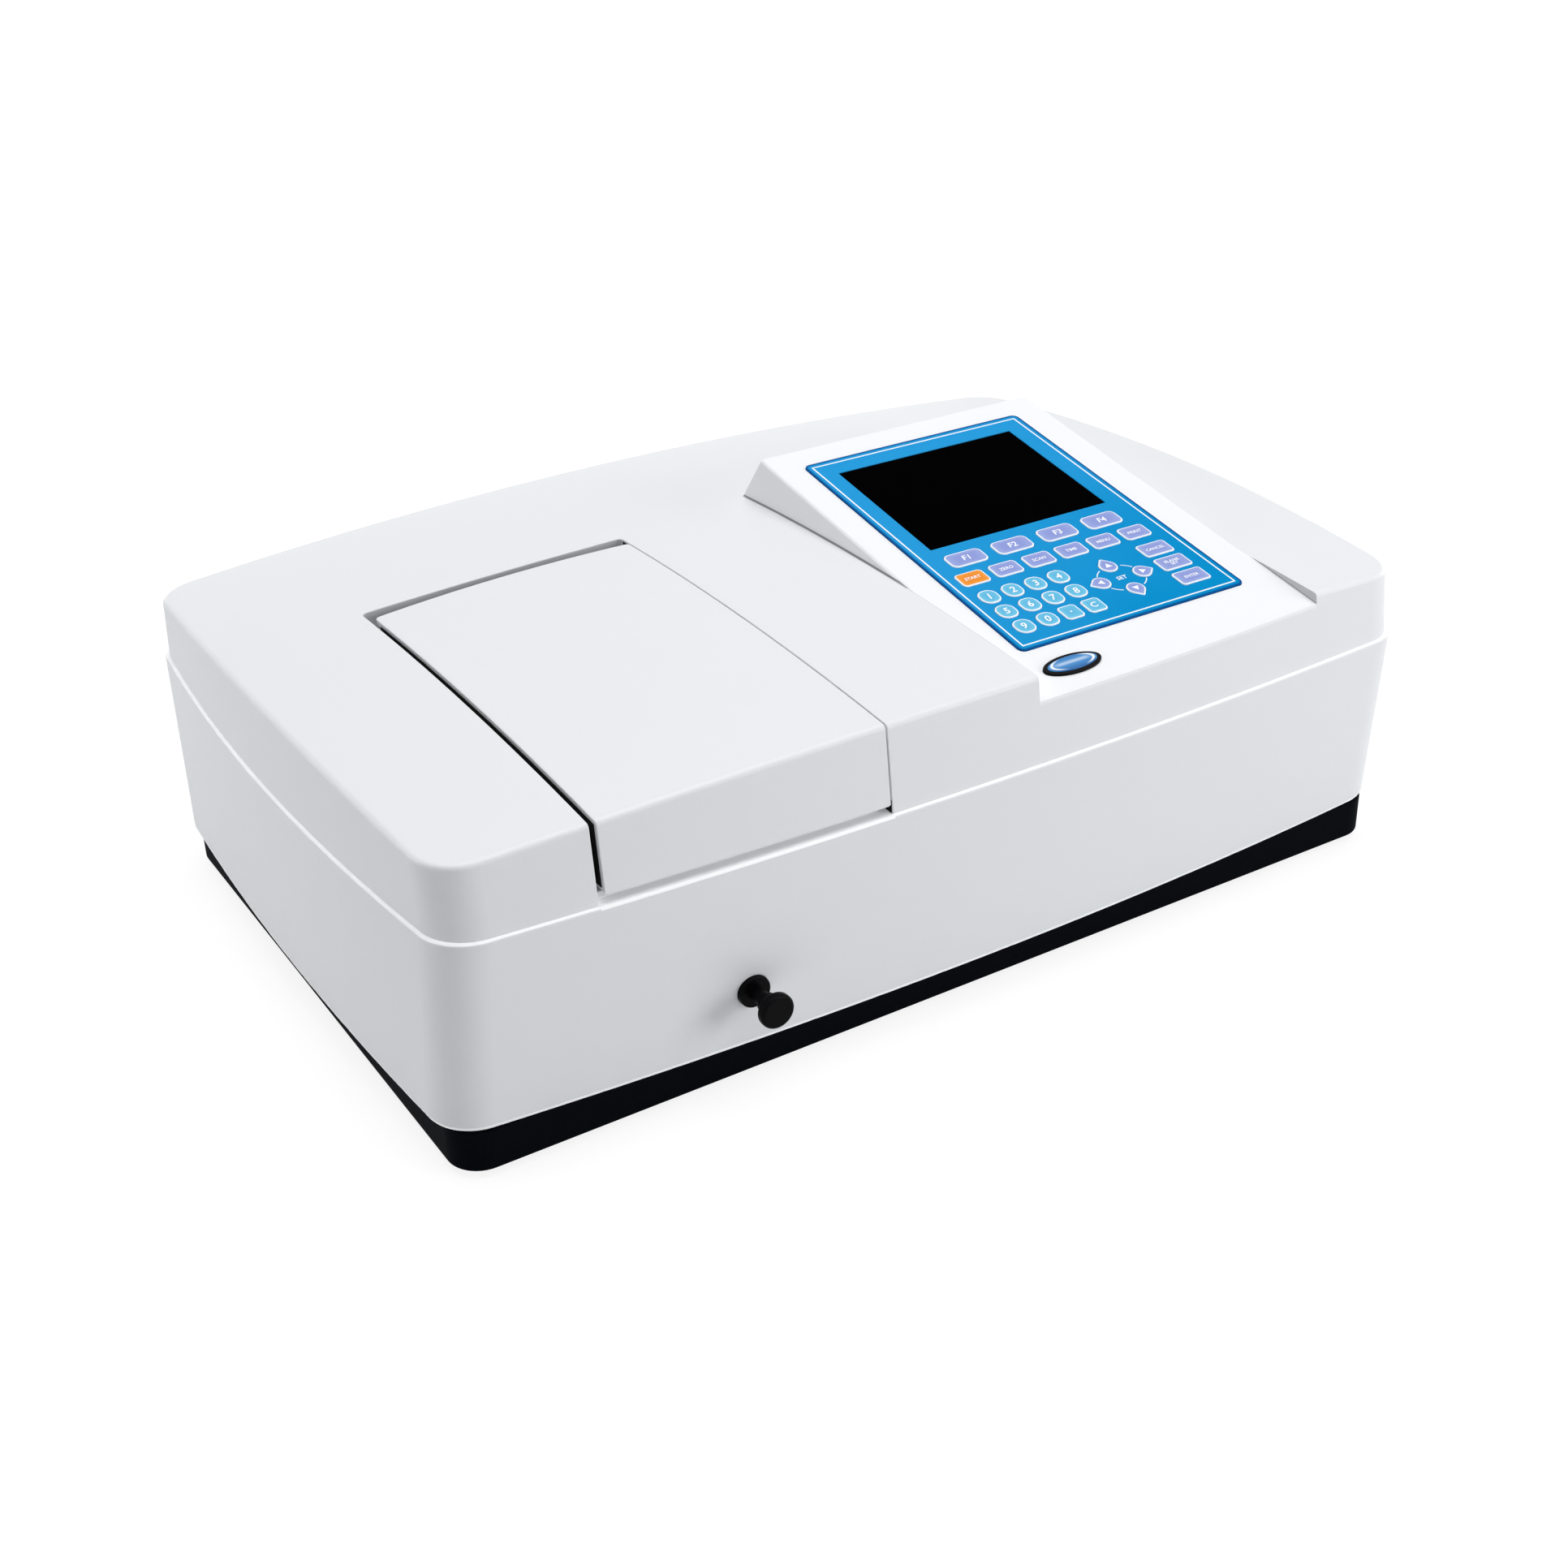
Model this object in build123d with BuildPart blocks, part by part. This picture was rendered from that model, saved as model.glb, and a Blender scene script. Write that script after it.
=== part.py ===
"""Bench-top ultraviolet and visible light spectrophotometer.

Sizes are in millimetres. X runs to the right, Y to the rear and Z up. The pieces are worked out
about the middle of the case and moved at the end, so that the origin lies under the middle of
everything, the pull knob included, on the bench.
"""
import os
from math import atan, cos, pi, radians, sin

from build123d import *

os.makedirs("parts", exist_ok=True)

# Case outlines: sizes are taken at the middle of each side, a bow is how far its ends fall back
case_width = 623.0
case_depth = 423.4
case_side_bow = 12.1
case_face_bow = 11.2
case_corner = 26.0
hem_width = 620.0
hem_depth = 410.2
hem_side_bow = 6.8
hem_face_bow = 14.7
hem_fillet = 5.0
crown_width = 611.0
crown_depth = 409.4
crown_side_bow = 7.7
crown_face_bow = 11.1
crown_fillet = 3.0
ledge = 2.0
ledge_fillet = 1.4
wall = 3.0
overshoot = 1.0

# Levels above the bench
foot_height = 4.0
hem_z = 26.6
rim_z = 137.5
crown_z = 182.0
dome_top = 194.0
dome_y = -9.0
dome_radius_x = 3727.0
dome_radius_y = 2155.0
dome_swing = 7.0
dome_depth = 150.0
dome_margin = 30.0
crown_reach = 12.0

# Base tray and feet
tray_width = 599.0
tray_depth = 384.5
tray_corner = 18.0
tray_floor = 3.0
foot_radius = 11.0
foot_inset = 45.0
foot_chamfer = 0.5

# Sloping console with its keypad
console_width = 197.0
console_x = 130.0
console_front_y = -203.0
console_front_z = 171.8
console_slope = 0.185
console_back_y = 62.8
console_foot_y = 91.0
console_foot_z = 184.0
console_fillet = 2.0
console_back_fillet = 3.0
console_step = 0.4
wedge_front_y = -150.0
wedge_root = 20.0

overlay_width = 155.7
overlay_length = 213.8
overlay_u = -2.3
overlay_v = 144.3
overlay_corner = 4.0
overlay_proud = 0.8
overlay_seat = 1.0
screen_width = 124.6
screen_length = 94.2
screen_u = -3.1
screen_v = 188.4
screen_drop = 0.3
display_depth = 12.0
panel_lip = 2.0
fit_gap = 0.2

# Keys: places are measured across and up the console from its front edge
key_rise = 0.6
key_travel = 0.5
key_skirt = 0.8
key_skirt_height = 0.8
key_play = 0.05
key_room = 0.5
dome_dot_radius = 2.5
board_thickness = 1.6
soft_key_size = (25.0, 13.3)
soft_key_pitch = 32.1
soft_key_v = 125.9
soft_key_corner = 4.0
mode_key_size = (18.6, 12.6)
mode_key_pitch = 22.9
mode_key_v = 107.1
mode_key_corner = 2.8
row_u = -4.1
side_key_size = (20.6, 12.6)
side_key_u = 52.4
side_key_corner = 2.2
digit_key_size = (12.2, 12.6)
digit_key_pitch = 15.8
digit_key_u = -64.2
digit_key_corner = 5.2
clear_key_corner = 2.8
block_pitch = 15.8
block_v = 71.9
arrow_u = 15.5
arrow_reach = (14.5, 12.3)
arrow_key_radius = 5.6
arrow_key_tip = 7.6
arrow_tip_fillet = 1.0

# Oval badge
badge_u = -62.5
badge_v = 16.8
badge_size = (37.0, 15.6)
badge_rim = (2.6, 1.95)
badge_height = 1.4
badge_lens_rise = 1.5

# Sample compartment lid and the opening that it closes
opening_left = -222.0
opening_right = -61.3
opening_back = 66.5
lid_gap_left = 3.5
lid_gap_right = 0.7
lid_back = 59.5
lid_back_bow = 3.5
lid_corner = 3.0
lid_bottom = 142.2
lid_foot_corner = 2.0
lid_edge = 0.6
sill_top = 140.8
sill_inset = 9.0
sill_depth = 17.0
hinge_y = 50.0
hinge_z = 178.5
hinge_pin_radius = 2.0
hinge_boss_radius = 3.6
hinge_boss_length = 6.0
hinge_clearance = 0.05
knuckle_width = 12.0
knuckle_length = 10.0
knuckle_inset = 16.0
skirt_back = 42.0

# Compartment tub, carriage for four cells and its pull rod
deck_top = 23.0
deck_thickness = 8.0
tub_left = -214.0
tub_right = -70.0
tub_front = -186.0
tub_back = 46.0
tub_wall = 2.5
flange_thickness = 3.0
beam_y = -48.0
beam_z = 80.0
beam_radius = 7.0
cell_count = 4
cell_pitch = 18.0
cell_size = 12.6
cell_margin = 3.0
carriage_width = 30.0
carriage_bottom = 48.0
carriage_top = 98.0
cell_floor = 66.0
window_radius = 4.0
rail_radius = 3.0
rail_z = 52.5
rail_spread = 20.0
running_gap = 0.06
carriage_chamfer = 1.0
rod_x = -142.0
rod_z = 61.0
rod_radius = 4.0
rod_grip = 6.0
rod_reach = 24.0
collar_radius = 8.8
collar_proud = 2.6
collar_seat = 1.2
collar_barrel = 6.0
knob_radius = 9.5
knob_length = 12.0
knob_disc = 5.6
knob_neck = 5.4
knob_socket = 8.0
knob_chamfer = 0.6

# Rear panel with its inlet, switch, ports and fan
panel_left = 36.0
panel_right = 232.0
panel_bottom = 42.0
panel_top = 122.0
panel_y = 188.0
panel_thickness = 2.0
panel_frame = 8.0
panel_corner = 3.0
fan_x = 196.0
fan_z = 82.0
fan_size = 60.0
fan_depth = 15.0
fan_hub_radius = 12.0
fan_tip_gap = 1.0
fan_rim = 1.5
fan_corner = 4.0
fan_screw_edge = 4.0
hub_fillet = 1.0
fan_blades = 7
grille_margin = 3.0
grille_slots = 6
grille_slot_width = 4.0
grille_bar = 3.4
inlet_x = 84.0
inlet_body = (56.0, 24.0)
inlet_bezel = (62.0, 30.0)
inlet_depth = 26.0
bezel_corner = 2.0
socket_size = (24.6, 16.6)
socket_depth = 17.0
socket_chamfer = 4.0
blade_size = (2.0, 4.4)
blade_pitch = 7.0
blade_length = 10.5
blade_rise = 1.5
earth_blade_drop = 2.5
rear_row_z = 70.0
rocker_pocket = (13.6, 21.0)
rocker_end_gap = 0.3
rocker_side_gap = 1.0
rocker_rise = 5.2
rocker_dip = 2.2
rocker_swing = 18.0
rocker_pivot_depth = 0.6
rocker_taper = 2.0
port_x = 138.0
port_size = (12.2, 11.2)
port_depth = 16.0
port_proud = 0.8
serial_x = 84.0
serial_z = 102.0
serial_flange = (31.0, 12.6)
serial_shell = (17.0, 9.0)
serial_reach = 7.0
serial_corner = 1.5
serial_side_angle = 80.0
pin_pitch = 2.77
bezel_proud = 1.6
fan_shaft_radius = 1.6
fan_screw_radius = 2.0
rotor_end_gap = 0.3
rotor_setback = 1.0
blade_root = 1.0
blade_thickness = 1.4
blade_twist = 40.0

# Boxes on the optical deck
deck_left = -288.0
deck_right = 248.0
deck_front = -176.0
deck_back = 172.0
deck_step_x = 128.0
deck_step_y = -14.0
post_radius = 6.0
deck_post_edge = 20.0
deck_corner = 6.0
housing_wall = 4.0
mono_right = 110.0
mono_front = -130.0
mono_back = 30.0
mono_top = 108.0
cover_plate = 2.5
housing_gap = 0.5
grating_lift = 4.0
turret_thickness = 4.0
grating_radius = 22.0
grating_stem = 5.0
grating_size = (30.0, 30.0, 6.0)
lamp_right = 236.0
lamp_front = 4.0
lamp_back = 128.0
lamp_top = 126.0
detector_left = -284.0
detector_length = 70.0
detector_top = 112.0
supply_left = -206.0
supply_right = -86.0
supply_front = 76.0
supply_back = 160.0
supply_top = 66.0
main_left = 140.0
main_right = 280.0
main_front = -168.0
main_back = -30.0
main_lift = 8.0
main_post_edge = 8.0

# The finished pieces move by this much along Y
tilt = atan(console_slope)
case_half_depth = case_depth / 2
deck_bottom = deck_top - deck_thickness
tray_floor_top = foot_height + tray_floor


def at_level(z, low, high, low_z, high_z):
    """Value at level z on the straight line between two levels."""
    return low + (high - low) * (z - low_z) / (high_z - low_z)


def case_face_y(x, z):
    """Y of the lower case's front face."""
    half = at_level(z, hem_depth, case_depth, hem_z, rim_z) / 2
    width = at_level(z, hem_width, case_width, hem_z, rim_z)
    bow = at_level(z, hem_face_bow, case_face_bow, hem_z, rim_z)
    side_bow = at_level(z, hem_side_bow, case_side_bow, hem_z, rim_z)
    return -half + bow * (x / (width / 2 - side_bow)) ** 2


rod_face_y = case_face_y(rod_x, rod_z)
frame_shift = (rod_reach - rod_face_y - case_half_depth) / 2


def finish(piece, name):
    """Move a piece into the frame, label it and write it."""
    placed = piece.moved(Location((0, frame_shift, 0)))
    placed.label = name
    export_step(placed, f"parts/{name}.step")


# Outlines and solids that the shells share

def bowed_outline(z, width, depth, side_bow, face_bow, inset):
    """Rectangle whose four sides bow outward, with round corners."""
    half_width = width / 2 - inset
    half_depth = depth / 2 - inset
    end_x = half_width - side_bow
    end_y = half_depth - face_bow
    with BuildSketch(Plane.XY.offset(z)) as outline:
        with BuildLine():
            ThreePointArc((-end_x, -end_y), (0, -half_depth), (end_x, -end_y))
            ThreePointArc((end_x, -end_y), (half_width, 0), (end_x, end_y))
            ThreePointArc((end_x, end_y), (0, half_depth), (-end_x, end_y))
            ThreePointArc((-end_x, end_y), (-half_width, 0), (-end_x, -end_y))
        make_face()
        fillet(outline.vertices(), case_corner - inset)
    return outline.sketch


def lower_outline(z, inset):
    """Outline of the lower case at a level."""
    return bowed_outline(
        z,
        at_level(z, hem_width, case_width, hem_z, rim_z),
        at_level(z, hem_depth, case_depth, hem_z, rim_z),
        at_level(z, hem_side_bow, case_side_bow, hem_z, rim_z),
        at_level(z, hem_face_bow, case_face_bow, hem_z, rim_z),
        inset,
    )


def upper_outline(z, inset):
    """Outline of the upper cover at a level."""
    return bowed_outline(
        z,
        at_level(z, case_width - 2 * ledge, crown_width, rim_z, crown_z),
        at_level(z, case_depth - 2 * ledge, crown_depth, rim_z, crown_z),
        at_level(z, case_side_bow, crown_side_bow, rim_z, crown_z),
        at_level(z, case_face_bow, crown_face_bow, rim_z, crown_z),
        inset,
    )


def lower_form(bottom, top, inset):
    """Solid of the lower case between two levels."""
    with BuildPart() as form:
        loft([lower_outline(bottom, inset), lower_outline(top, inset)], ruled=True)
    return form.part


def dome_form(inset):
    """Solid under the doubly curved top, wider than the case."""
    reach = case_width / 2 + dome_margin
    radius = dome_radius_y - inset
    bottom = dome_radius_y - dome_depth
    swing = radians(dome_swing)
    edge = radius - dome_radius_x + (dome_radius_x**2 - reach**2) ** 0.5
    axis_point = (0, dome_y, dome_top - dome_radius_y)
    start = Plane(origin=axis_point, x_dir=(1, 0, 0), z_dir=(0, -cos(swing), -sin(swing)))
    with BuildPart() as form:
        with BuildSketch(start):
            with BuildLine():
                ThreePointArc((-reach, edge), (0, radius), (reach, edge))
                Polyline((reach, edge), (reach, bottom), (-reach, bottom), (-reach, edge))
            make_face()
        revolve(axis=Axis(axis_point, (-1, 0, 0)), revolution_arc=2 * dome_swing)
    return form.part


def console_z(y):
    """Level of the console plane above a place on the case."""
    return console_front_z + console_slope * (y - console_front_y)


def recess_form(inset):
    """Everything above the console plane, across the console."""
    drop = inset / cos(tilt)
    front = -case_depth
    high = 2 * dome_top
    half = console_width / 2 + inset
    with BuildPart() as form:
        with BuildSketch(Plane.YZ.offset(console_x - half)):
            Polygon(
                (front, console_z(front) - drop),
                (console_back_y, console_z(console_back_y) - drop),
                (console_back_y, high),
                (front, high),
                align=None,
            )
        extrude(amount=2 * half)
    return form.part


def wedge_form(inset):
    """The part of the console that stands above the dome, a little narrower than its recess."""
    low = rim_z + wedge_root
    half = console_width / 2 - console_step - inset
    with BuildPart() as form:
        with BuildSketch(Plane.YZ.offset(console_x - half)):
            Polygon(
                (wedge_front_y, low),
                (wedge_front_y, console_z(wedge_front_y)),
                (console_back_y, console_z(console_back_y)),
                (console_foot_y, console_foot_z),
                (console_foot_y, low),
                align=None,
            )
            if inset:
                offset(amount=-inset, kind=Kind.INTERSECTION)
        extrude(amount=2 * half)
        if not inset:
            fillet(form.edges().filter_by(Axis.X).sort_by(Axis.Z)[-1], console_back_fillet)
            high = form.edges().filter_by(lambda e: e.center().Z > console_z(wedge_front_y))
            sides = high.filter_by(lambda e: abs(e.center().X - console_x) > half - console_step)
            fillet(sides, console_fillet)
    return form.part


def cover_form(inset):
    """Solid of the upper cover, with the console."""
    with BuildPart() as form:
        loft([upper_outline(rim_z, inset), upper_outline(dome_top + crown_reach, inset)], ruled=True)
        add(dome_form(inset), mode=Mode.INTERSECT)
        if not inset:
            crease = form.edges().filter_by_position(Axis.Z, crown_z - crown_reach, crown_z + crown_reach)
            fillet(crease, crown_fillet)
        add(recess_form(inset), mode=Mode.SUBTRACT)
        add(wedge_form(inset))
    return form.part


def block(x0, x1, y0, y1, z0, z1):
    """Box between two corners."""
    with BuildPart() as form:
        with BuildSketch(Plane.XY.offset(z0)):
            with Locations(((x0 + x1) / 2, (y0 + y1) / 2)):
                Rectangle(x1 - x0, y1 - y0)
        extrude(amount=z1 - z0)
    return form.part


def shared(first, second):
    """Solid that two solids share."""
    with BuildPart() as form:
        add(first)
        add(second, mode=Mode.INTERSECT)
    return form.part


def along_x(x, y, z):
    """Plane that faces right, with its own Y upward."""
    return Plane(origin=(x, y, z), x_dir=(0, 1, 0), z_dir=(1, 0, 0))


def along_y(x, y, z):
    """Plane that faces the rear."""
    return Plane(origin=(x, y, z), x_dir=(1, 0, 0), z_dir=(0, 1, 0))


def on_console(height):
    """Plane parallel to the console's face, at a height above it."""
    corner = (console_x, console_front_y, console_front_z)
    face = Plane(origin=corner, x_dir=(1, 0, 0), z_dir=(0, -sin(tilt), cos(tilt)))
    return face.offset(height)


cover_outer = cover_form(0)
cover_middle = cover_form(wall / 2)
cover_inner = cover_form(wall)
console_normal = Axis(on_console(0).origin, on_console(0).z_dir)
high_z = 2 * dome_top
far_front = -case_depth

# Rubber feet: four separate pads under the tray
foot_x = tray_width / 2 - foot_inset
foot_y = tray_depth / 2 - foot_inset
with BuildPart() as rubber_feet:
    with BuildSketch():
        with Locations((foot_x, foot_y), (-foot_x, foot_y), (foot_x, -foot_y), (-foot_x, -foot_y)):
            Circle(foot_radius)
    extrude(amount=foot_height)
    chamfer(rubber_feet.edges().group_by(Axis.Z)[0], foot_chamfer)
finish(rubber_feet.part, "rubber_feet")

# Base tray: black tray with posts for the optical deck and the main board
deck_posts = [
    (deck_left + deck_post_edge, deck_front + deck_post_edge),
    (deck_left + deck_post_edge, deck_back - deck_post_edge),
    (deck_right - deck_post_edge, deck_back - deck_post_edge),
    (deck_step_x - deck_post_edge, deck_front + deck_post_edge),
    (deck_right - deck_post_edge, deck_step_y + deck_post_edge),
]
main_posts = [
    (x, y)
    for x in (main_left + main_post_edge, main_right - main_post_edge)
    for y in (main_front + main_post_edge, main_back - main_post_edge)
]
main_bottom = tray_floor_top + main_lift
with BuildPart() as base_tray:
    with BuildSketch(Plane.XY.offset(foot_height)):
        RectangleRounded(tray_width, tray_depth, tray_corner)
    extrude(amount=hem_z - foot_height)
    with BuildSketch(Plane.XY.offset(tray_floor_top)):
        RectangleRounded(tray_width - 2 * wall, tray_depth - 2 * wall, tray_corner - wall)
    extrude(amount=hem_z, mode=Mode.SUBTRACT)
    fillet(base_tray.edges().group_by(Axis.Z)[0], tray_floor / 2)
    with BuildSketch(Plane.XY.offset(tray_floor_top)):
        with Locations(*deck_posts):
            Circle(post_radius)
    extrude(amount=deck_bottom - tray_floor_top)
    with BuildSketch(Plane.XY.offset(tray_floor_top)):
        with Locations(*main_posts):
            Circle(post_radius / 2)
    extrude(amount=main_bottom - tray_floor_top)
finish(base_tray.part, "base_tray")

# Lower case: drafted shell with a lip round its foot, a sill under the lid and a rear frame
collar_seat_y = rod_face_y + collar_seat
sill_back = -case_half_depth + wall + sill_depth
frame_width = panel_right - panel_left
frame_height = panel_top - panel_bottom
panel_middle = ((panel_left + panel_right) / 2, (panel_bottom + panel_top) / 2)
sill_room = block(opening_left + fit_gap, opening_right - fit_gap, far_front, sill_back, 0, high_z)
sill_ledge = shared(lower_form(rim_z - 2 * wall, rim_z, ledge), sill_room)
sill = shared(lower_form(rim_z - wall, sill_top, sill_inset), sill_room)
rear_frame = shared(
    lower_form(hem_z + wall / 2, rim_z - wall, wall / 2),
    block(panel_left, panel_right, panel_y, case_depth, panel_bottom, panel_top),
)
with BuildPart() as lower_room:
    add(lower_form(hem_z + wall, rim_z + overshoot, wall))
    fillet(lower_room.edges().group_by(Axis.Z)[0], hem_fillet - wall)
with BuildPart() as lower_case:
    add(lower_form(hem_z, rim_z, 0))
    fillet(lower_case.edges().group_by(Axis.Z)[0], hem_fillet)
    fillet(lower_case.edges().group_by(Axis.Z)[-1], ledge_fillet)
    add(lower_room.part, mode=Mode.SUBTRACT)
    with BuildSketch(Plane.XY.offset(hem_z)):
        RectangleRounded(tray_width - 2 * wall, tray_depth - 2 * wall, tray_corner - wall)
    extrude(amount=wall, mode=Mode.SUBTRACT)
    add(sill_ledge)
    add(sill)
    add(rear_frame)
    with BuildSketch(Plane.XZ.offset(-panel_y)):
        with Locations(panel_middle):
            RectangleRounded(frame_width - 2 * panel_frame, frame_height - 2 * panel_frame, panel_corner)
    extrude(amount=-case_depth / 4, mode=Mode.SUBTRACT)
    with BuildSketch(along_y(rod_x, collar_seat_y, rod_z)):
        Circle(collar_radius + fit_gap)
    extrude(amount=-4 * collar_seat, mode=Mode.SUBTRACT)
    with BuildSketch(along_y(rod_x, collar_seat_y, rod_z)):
        Circle(collar_barrel)
    extrude(amount=2 * wall, mode=Mode.SUBTRACT)
finish(lower_case.part, "lower_case")

# Upper cover: domed shell with the console, the well round the lid and the hinge bosses
opening_x = (opening_left + opening_right) / 2
opening_width = opening_right - opening_left
key_left = digit_key_u - digit_key_size[0] / 2
key_right = side_key_u + side_key_size[0] / 2
key_low = block_v - block_pitch - digit_key_size[1] / 2
key_high = soft_key_v + soft_key_size[1] / 2
key_area = (key_right - key_left, key_high - key_low)
key_middle = ((key_left + key_right) / 2, (key_low + key_high) / 2)
key_margin = key_skirt + fit_gap + key_room
well = shared(
    cover_middle,
    block(opening_left - wall, opening_right + wall, far_front, opening_back + wall, 0, high_z),
)
with BuildPart() as lid_opening:
    with BuildSketch(Plane.XY.offset(rim_z)) as opening:
        with Locations((opening_x, (far_front + opening_back) / 2)):
            Rectangle(opening_width, opening_back - far_front)
        fillet(opening.vertices().group_by(Axis.Y)[-1], lid_corner)
    extrude(amount=high_z)
with BuildPart() as open_cover:
    add(cover_outer)
    add(lid_opening.part, mode=Mode.SUBTRACT)
    rim_edges = open_cover.edges(Select.LAST).filter_by_position(Axis.Z, lid_bottom, high_z)
    fillet(rim_edges.filter_by(GeomType.LINE, reverse=True), lid_edge)
with BuildPart() as upper_cover:
    add(open_cover.part)
    add(cover_inner, mode=Mode.SUBTRACT)
    add(well)
    add(lid_opening.part, mode=Mode.SUBTRACT)
    with BuildSketch(along_x(opening_left, hinge_y, hinge_z)):
        Circle(hinge_boss_radius)
    extrude(amount=hinge_boss_length)
    with BuildSketch(along_x(opening_right, hinge_y, hinge_z)):
        Circle(hinge_boss_radius)
    extrude(amount=-hinge_boss_length)
    with BuildSketch(along_x(opening_left - wall, hinge_y, hinge_z)):
        Circle(hinge_pin_radius + hinge_clearance)
    extrude(amount=opening_width + 2 * wall, mode=Mode.SUBTRACT)
    with BuildSketch(on_console(-overlay_seat)):
        with Locations((overlay_u, overlay_v)):
            RectangleRounded(overlay_width + 2 * fit_gap, overlay_length + 2 * fit_gap, overlay_corner)
    extrude(amount=2 * overlay_seat, mode=Mode.SUBTRACT)
    with BuildSketch(on_console(-2 * wall)):
        with Locations((screen_u, screen_v)):
            Rectangle(screen_width + 2 * fit_gap, screen_length + 2 * fit_gap)
        with Locations(key_middle):
            Rectangle(key_area[0] + 2 * key_margin, key_area[1] + 2 * key_margin)
    extrude(amount=3 * wall, mode=Mode.SUBTRACT)
finish(upper_cover.part, "upper_cover")

# Sample lid: runs over the front edge and down the front, with two hinge knuckles
lid_left = opening_left + lid_gap_left
lid_right = opening_right - lid_gap_right
lid_x = (lid_left + lid_right) / 2
knuckle_starts = (lid_left + knuckle_inset, lid_right - knuckle_inset - knuckle_width)
knuckle_front = hinge_y - knuckle_length / 2
knuckle_back = hinge_y + knuckle_length / 2
knuckle_low = hinge_z - 2 * hinge_pin_radius
knuckles = [
    shared(
        cover_middle,
        block(start, start + knuckle_width, knuckle_front, knuckle_back, knuckle_low, high_z),
    )
    for start in knuckle_starts
]
with BuildPart() as lid_room:
    add(block(lid_left + wall, lid_right - wall, far_front, skirt_back + overshoot, 0, high_z))
    add(block(opening_left, opening_right, skirt_back, opening_back, 0, high_z))
lid_hollow = shared(cover_inner, lid_room.part)
with BuildPart() as lid_frontage:
    with BuildSketch(Plane.XZ.offset(case_depth)):
        with Locations((lid_x, lid_bottom + high_z / 2)):
            RectangleRounded(lid_right - lid_left + 2 * fit_gap, high_z, lid_foot_corner)
    extrude(amount=-2 * case_depth)
with BuildPart() as sample_lid:
    with BuildSketch(Plane.XY.offset(lid_bottom)) as lid_plan:
        with BuildLine():
            corner_y = lid_back - lid_back_bow
            ThreePointArc((lid_left, corner_y), (lid_x, lid_back), (lid_right, corner_y))
            Polyline(
                (lid_right, corner_y), (lid_right, far_front), (lid_left, far_front), (lid_left, corner_y)
            )
        make_face()
        fillet(lid_plan.vertices().group_by(Axis.Y)[-1], lid_corner)
    extrude(amount=high_z)
    add(cover_outer, mode=Mode.INTERSECT)
    high = sample_lid.edges().filter_by_position(Axis.Z, lid_bottom + lid_foot_corner, high_z)
    curved = high.filter_by(GeomType.LINE, reverse=True)
    fillet(curved.filter_by(lambda e: e.center().Y > 0 or abs(e.center().X - lid_x) > lid_corner), lid_edge)
    add(lid_frontage.part, mode=Mode.INTERSECT)
    add(lid_hollow, mode=Mode.SUBTRACT)
    for knuckle in knuckles:
        add(knuckle)
    with BuildSketch(along_x(lid_left, hinge_y, hinge_z)):
        Circle(hinge_pin_radius)
    extrude(amount=lid_right - lid_left, mode=Mode.SUBTRACT)
finish(sample_lid.part, "sample_lid")

with BuildPart() as lid_hinge_pin:
    with BuildSketch(along_x(opening_left - wall / 2, hinge_y, hinge_z)):
        Circle(hinge_pin_radius)
    extrude(amount=opening_width + wall)
finish(lid_hinge_pin.part, "lid_hinge_pin")

# Compartment tub: open box on the deck, its flange closing the well from below
with BuildPart() as chamber_tub:
    add(block(tub_left, tub_right, tub_front, tub_back, deck_top, rim_z))
    add(
        block(
            opening_left - wall, opening_right + wall, sill_back + fit_gap, opening_back + wall,
            rim_z - flange_thickness, rim_z,
        )
    )
    add(
        block(
            tub_left + tub_wall, tub_right - tub_wall, tub_front + tub_wall, tub_back - tub_wall,
            deck_top + tub_wall, rim_z,
        ),
        mode=Mode.SUBTRACT,
    )
    with BuildSketch(along_x(tub_left, beam_y, beam_z)):
        Circle(beam_radius)
    extrude(amount=tub_right - tub_left, mode=Mode.SUBTRACT)
    with BuildSketch(along_y(rod_x, tub_front, rod_z)):
        Circle(rod_radius + fit_gap)
    extrude(amount=tub_wall, mode=Mode.SUBTRACT)
    for side in (-1, 1):
        with BuildSketch(along_y(rod_x + side * rail_spread / 2, tub_front, rail_z)):
            Circle(rail_radius)
        extrude(amount=tub_back - tub_front, mode=Mode.SUBTRACT)
finish(chamber_tub.part, "chamber_tub")

# Cell carriage: block with four square sockets, running on two rails
carriage_front = beam_y - cell_pitch / 2 - cell_margin
carriage_length = cell_count * cell_pitch + 2 * cell_margin
cell_places = [beam_y + i * cell_pitch for i in range(cell_count)]
with BuildPart() as cell_carriage:
    add(
        block(
            rod_x - carriage_width / 2, rod_x + carriage_width / 2,
            carriage_front, carriage_front + carriage_length, carriage_bottom, carriage_top,
        )
    )
    chamfer(cell_carriage.edges().group_by(Axis.Z)[-1], carriage_chamfer)
    with BuildSketch(Plane.XY.offset(cell_floor)):
        with Locations(*[(rod_x, y) for y in cell_places]):
            Rectangle(cell_size, cell_size)
    extrude(amount=carriage_top, mode=Mode.SUBTRACT)
    for y in cell_places:
        with BuildSketch(along_x(rod_x - carriage_width, y, beam_z)):
            Circle(window_radius)
        extrude(amount=2 * carriage_width, mode=Mode.SUBTRACT)
    for side in (-1, 1):
        with BuildSketch(along_y(rod_x + side * rail_spread / 2, carriage_front, rail_z)):
            Circle(rail_radius + running_gap)
        extrude(amount=carriage_length, mode=Mode.SUBTRACT)
    with BuildSketch(along_y(rod_x, carriage_front, rod_z)):
        Circle(rod_radius)
    extrude(amount=rod_grip, mode=Mode.SUBTRACT)
finish(cell_carriage.part, "cell_carriage")

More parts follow.
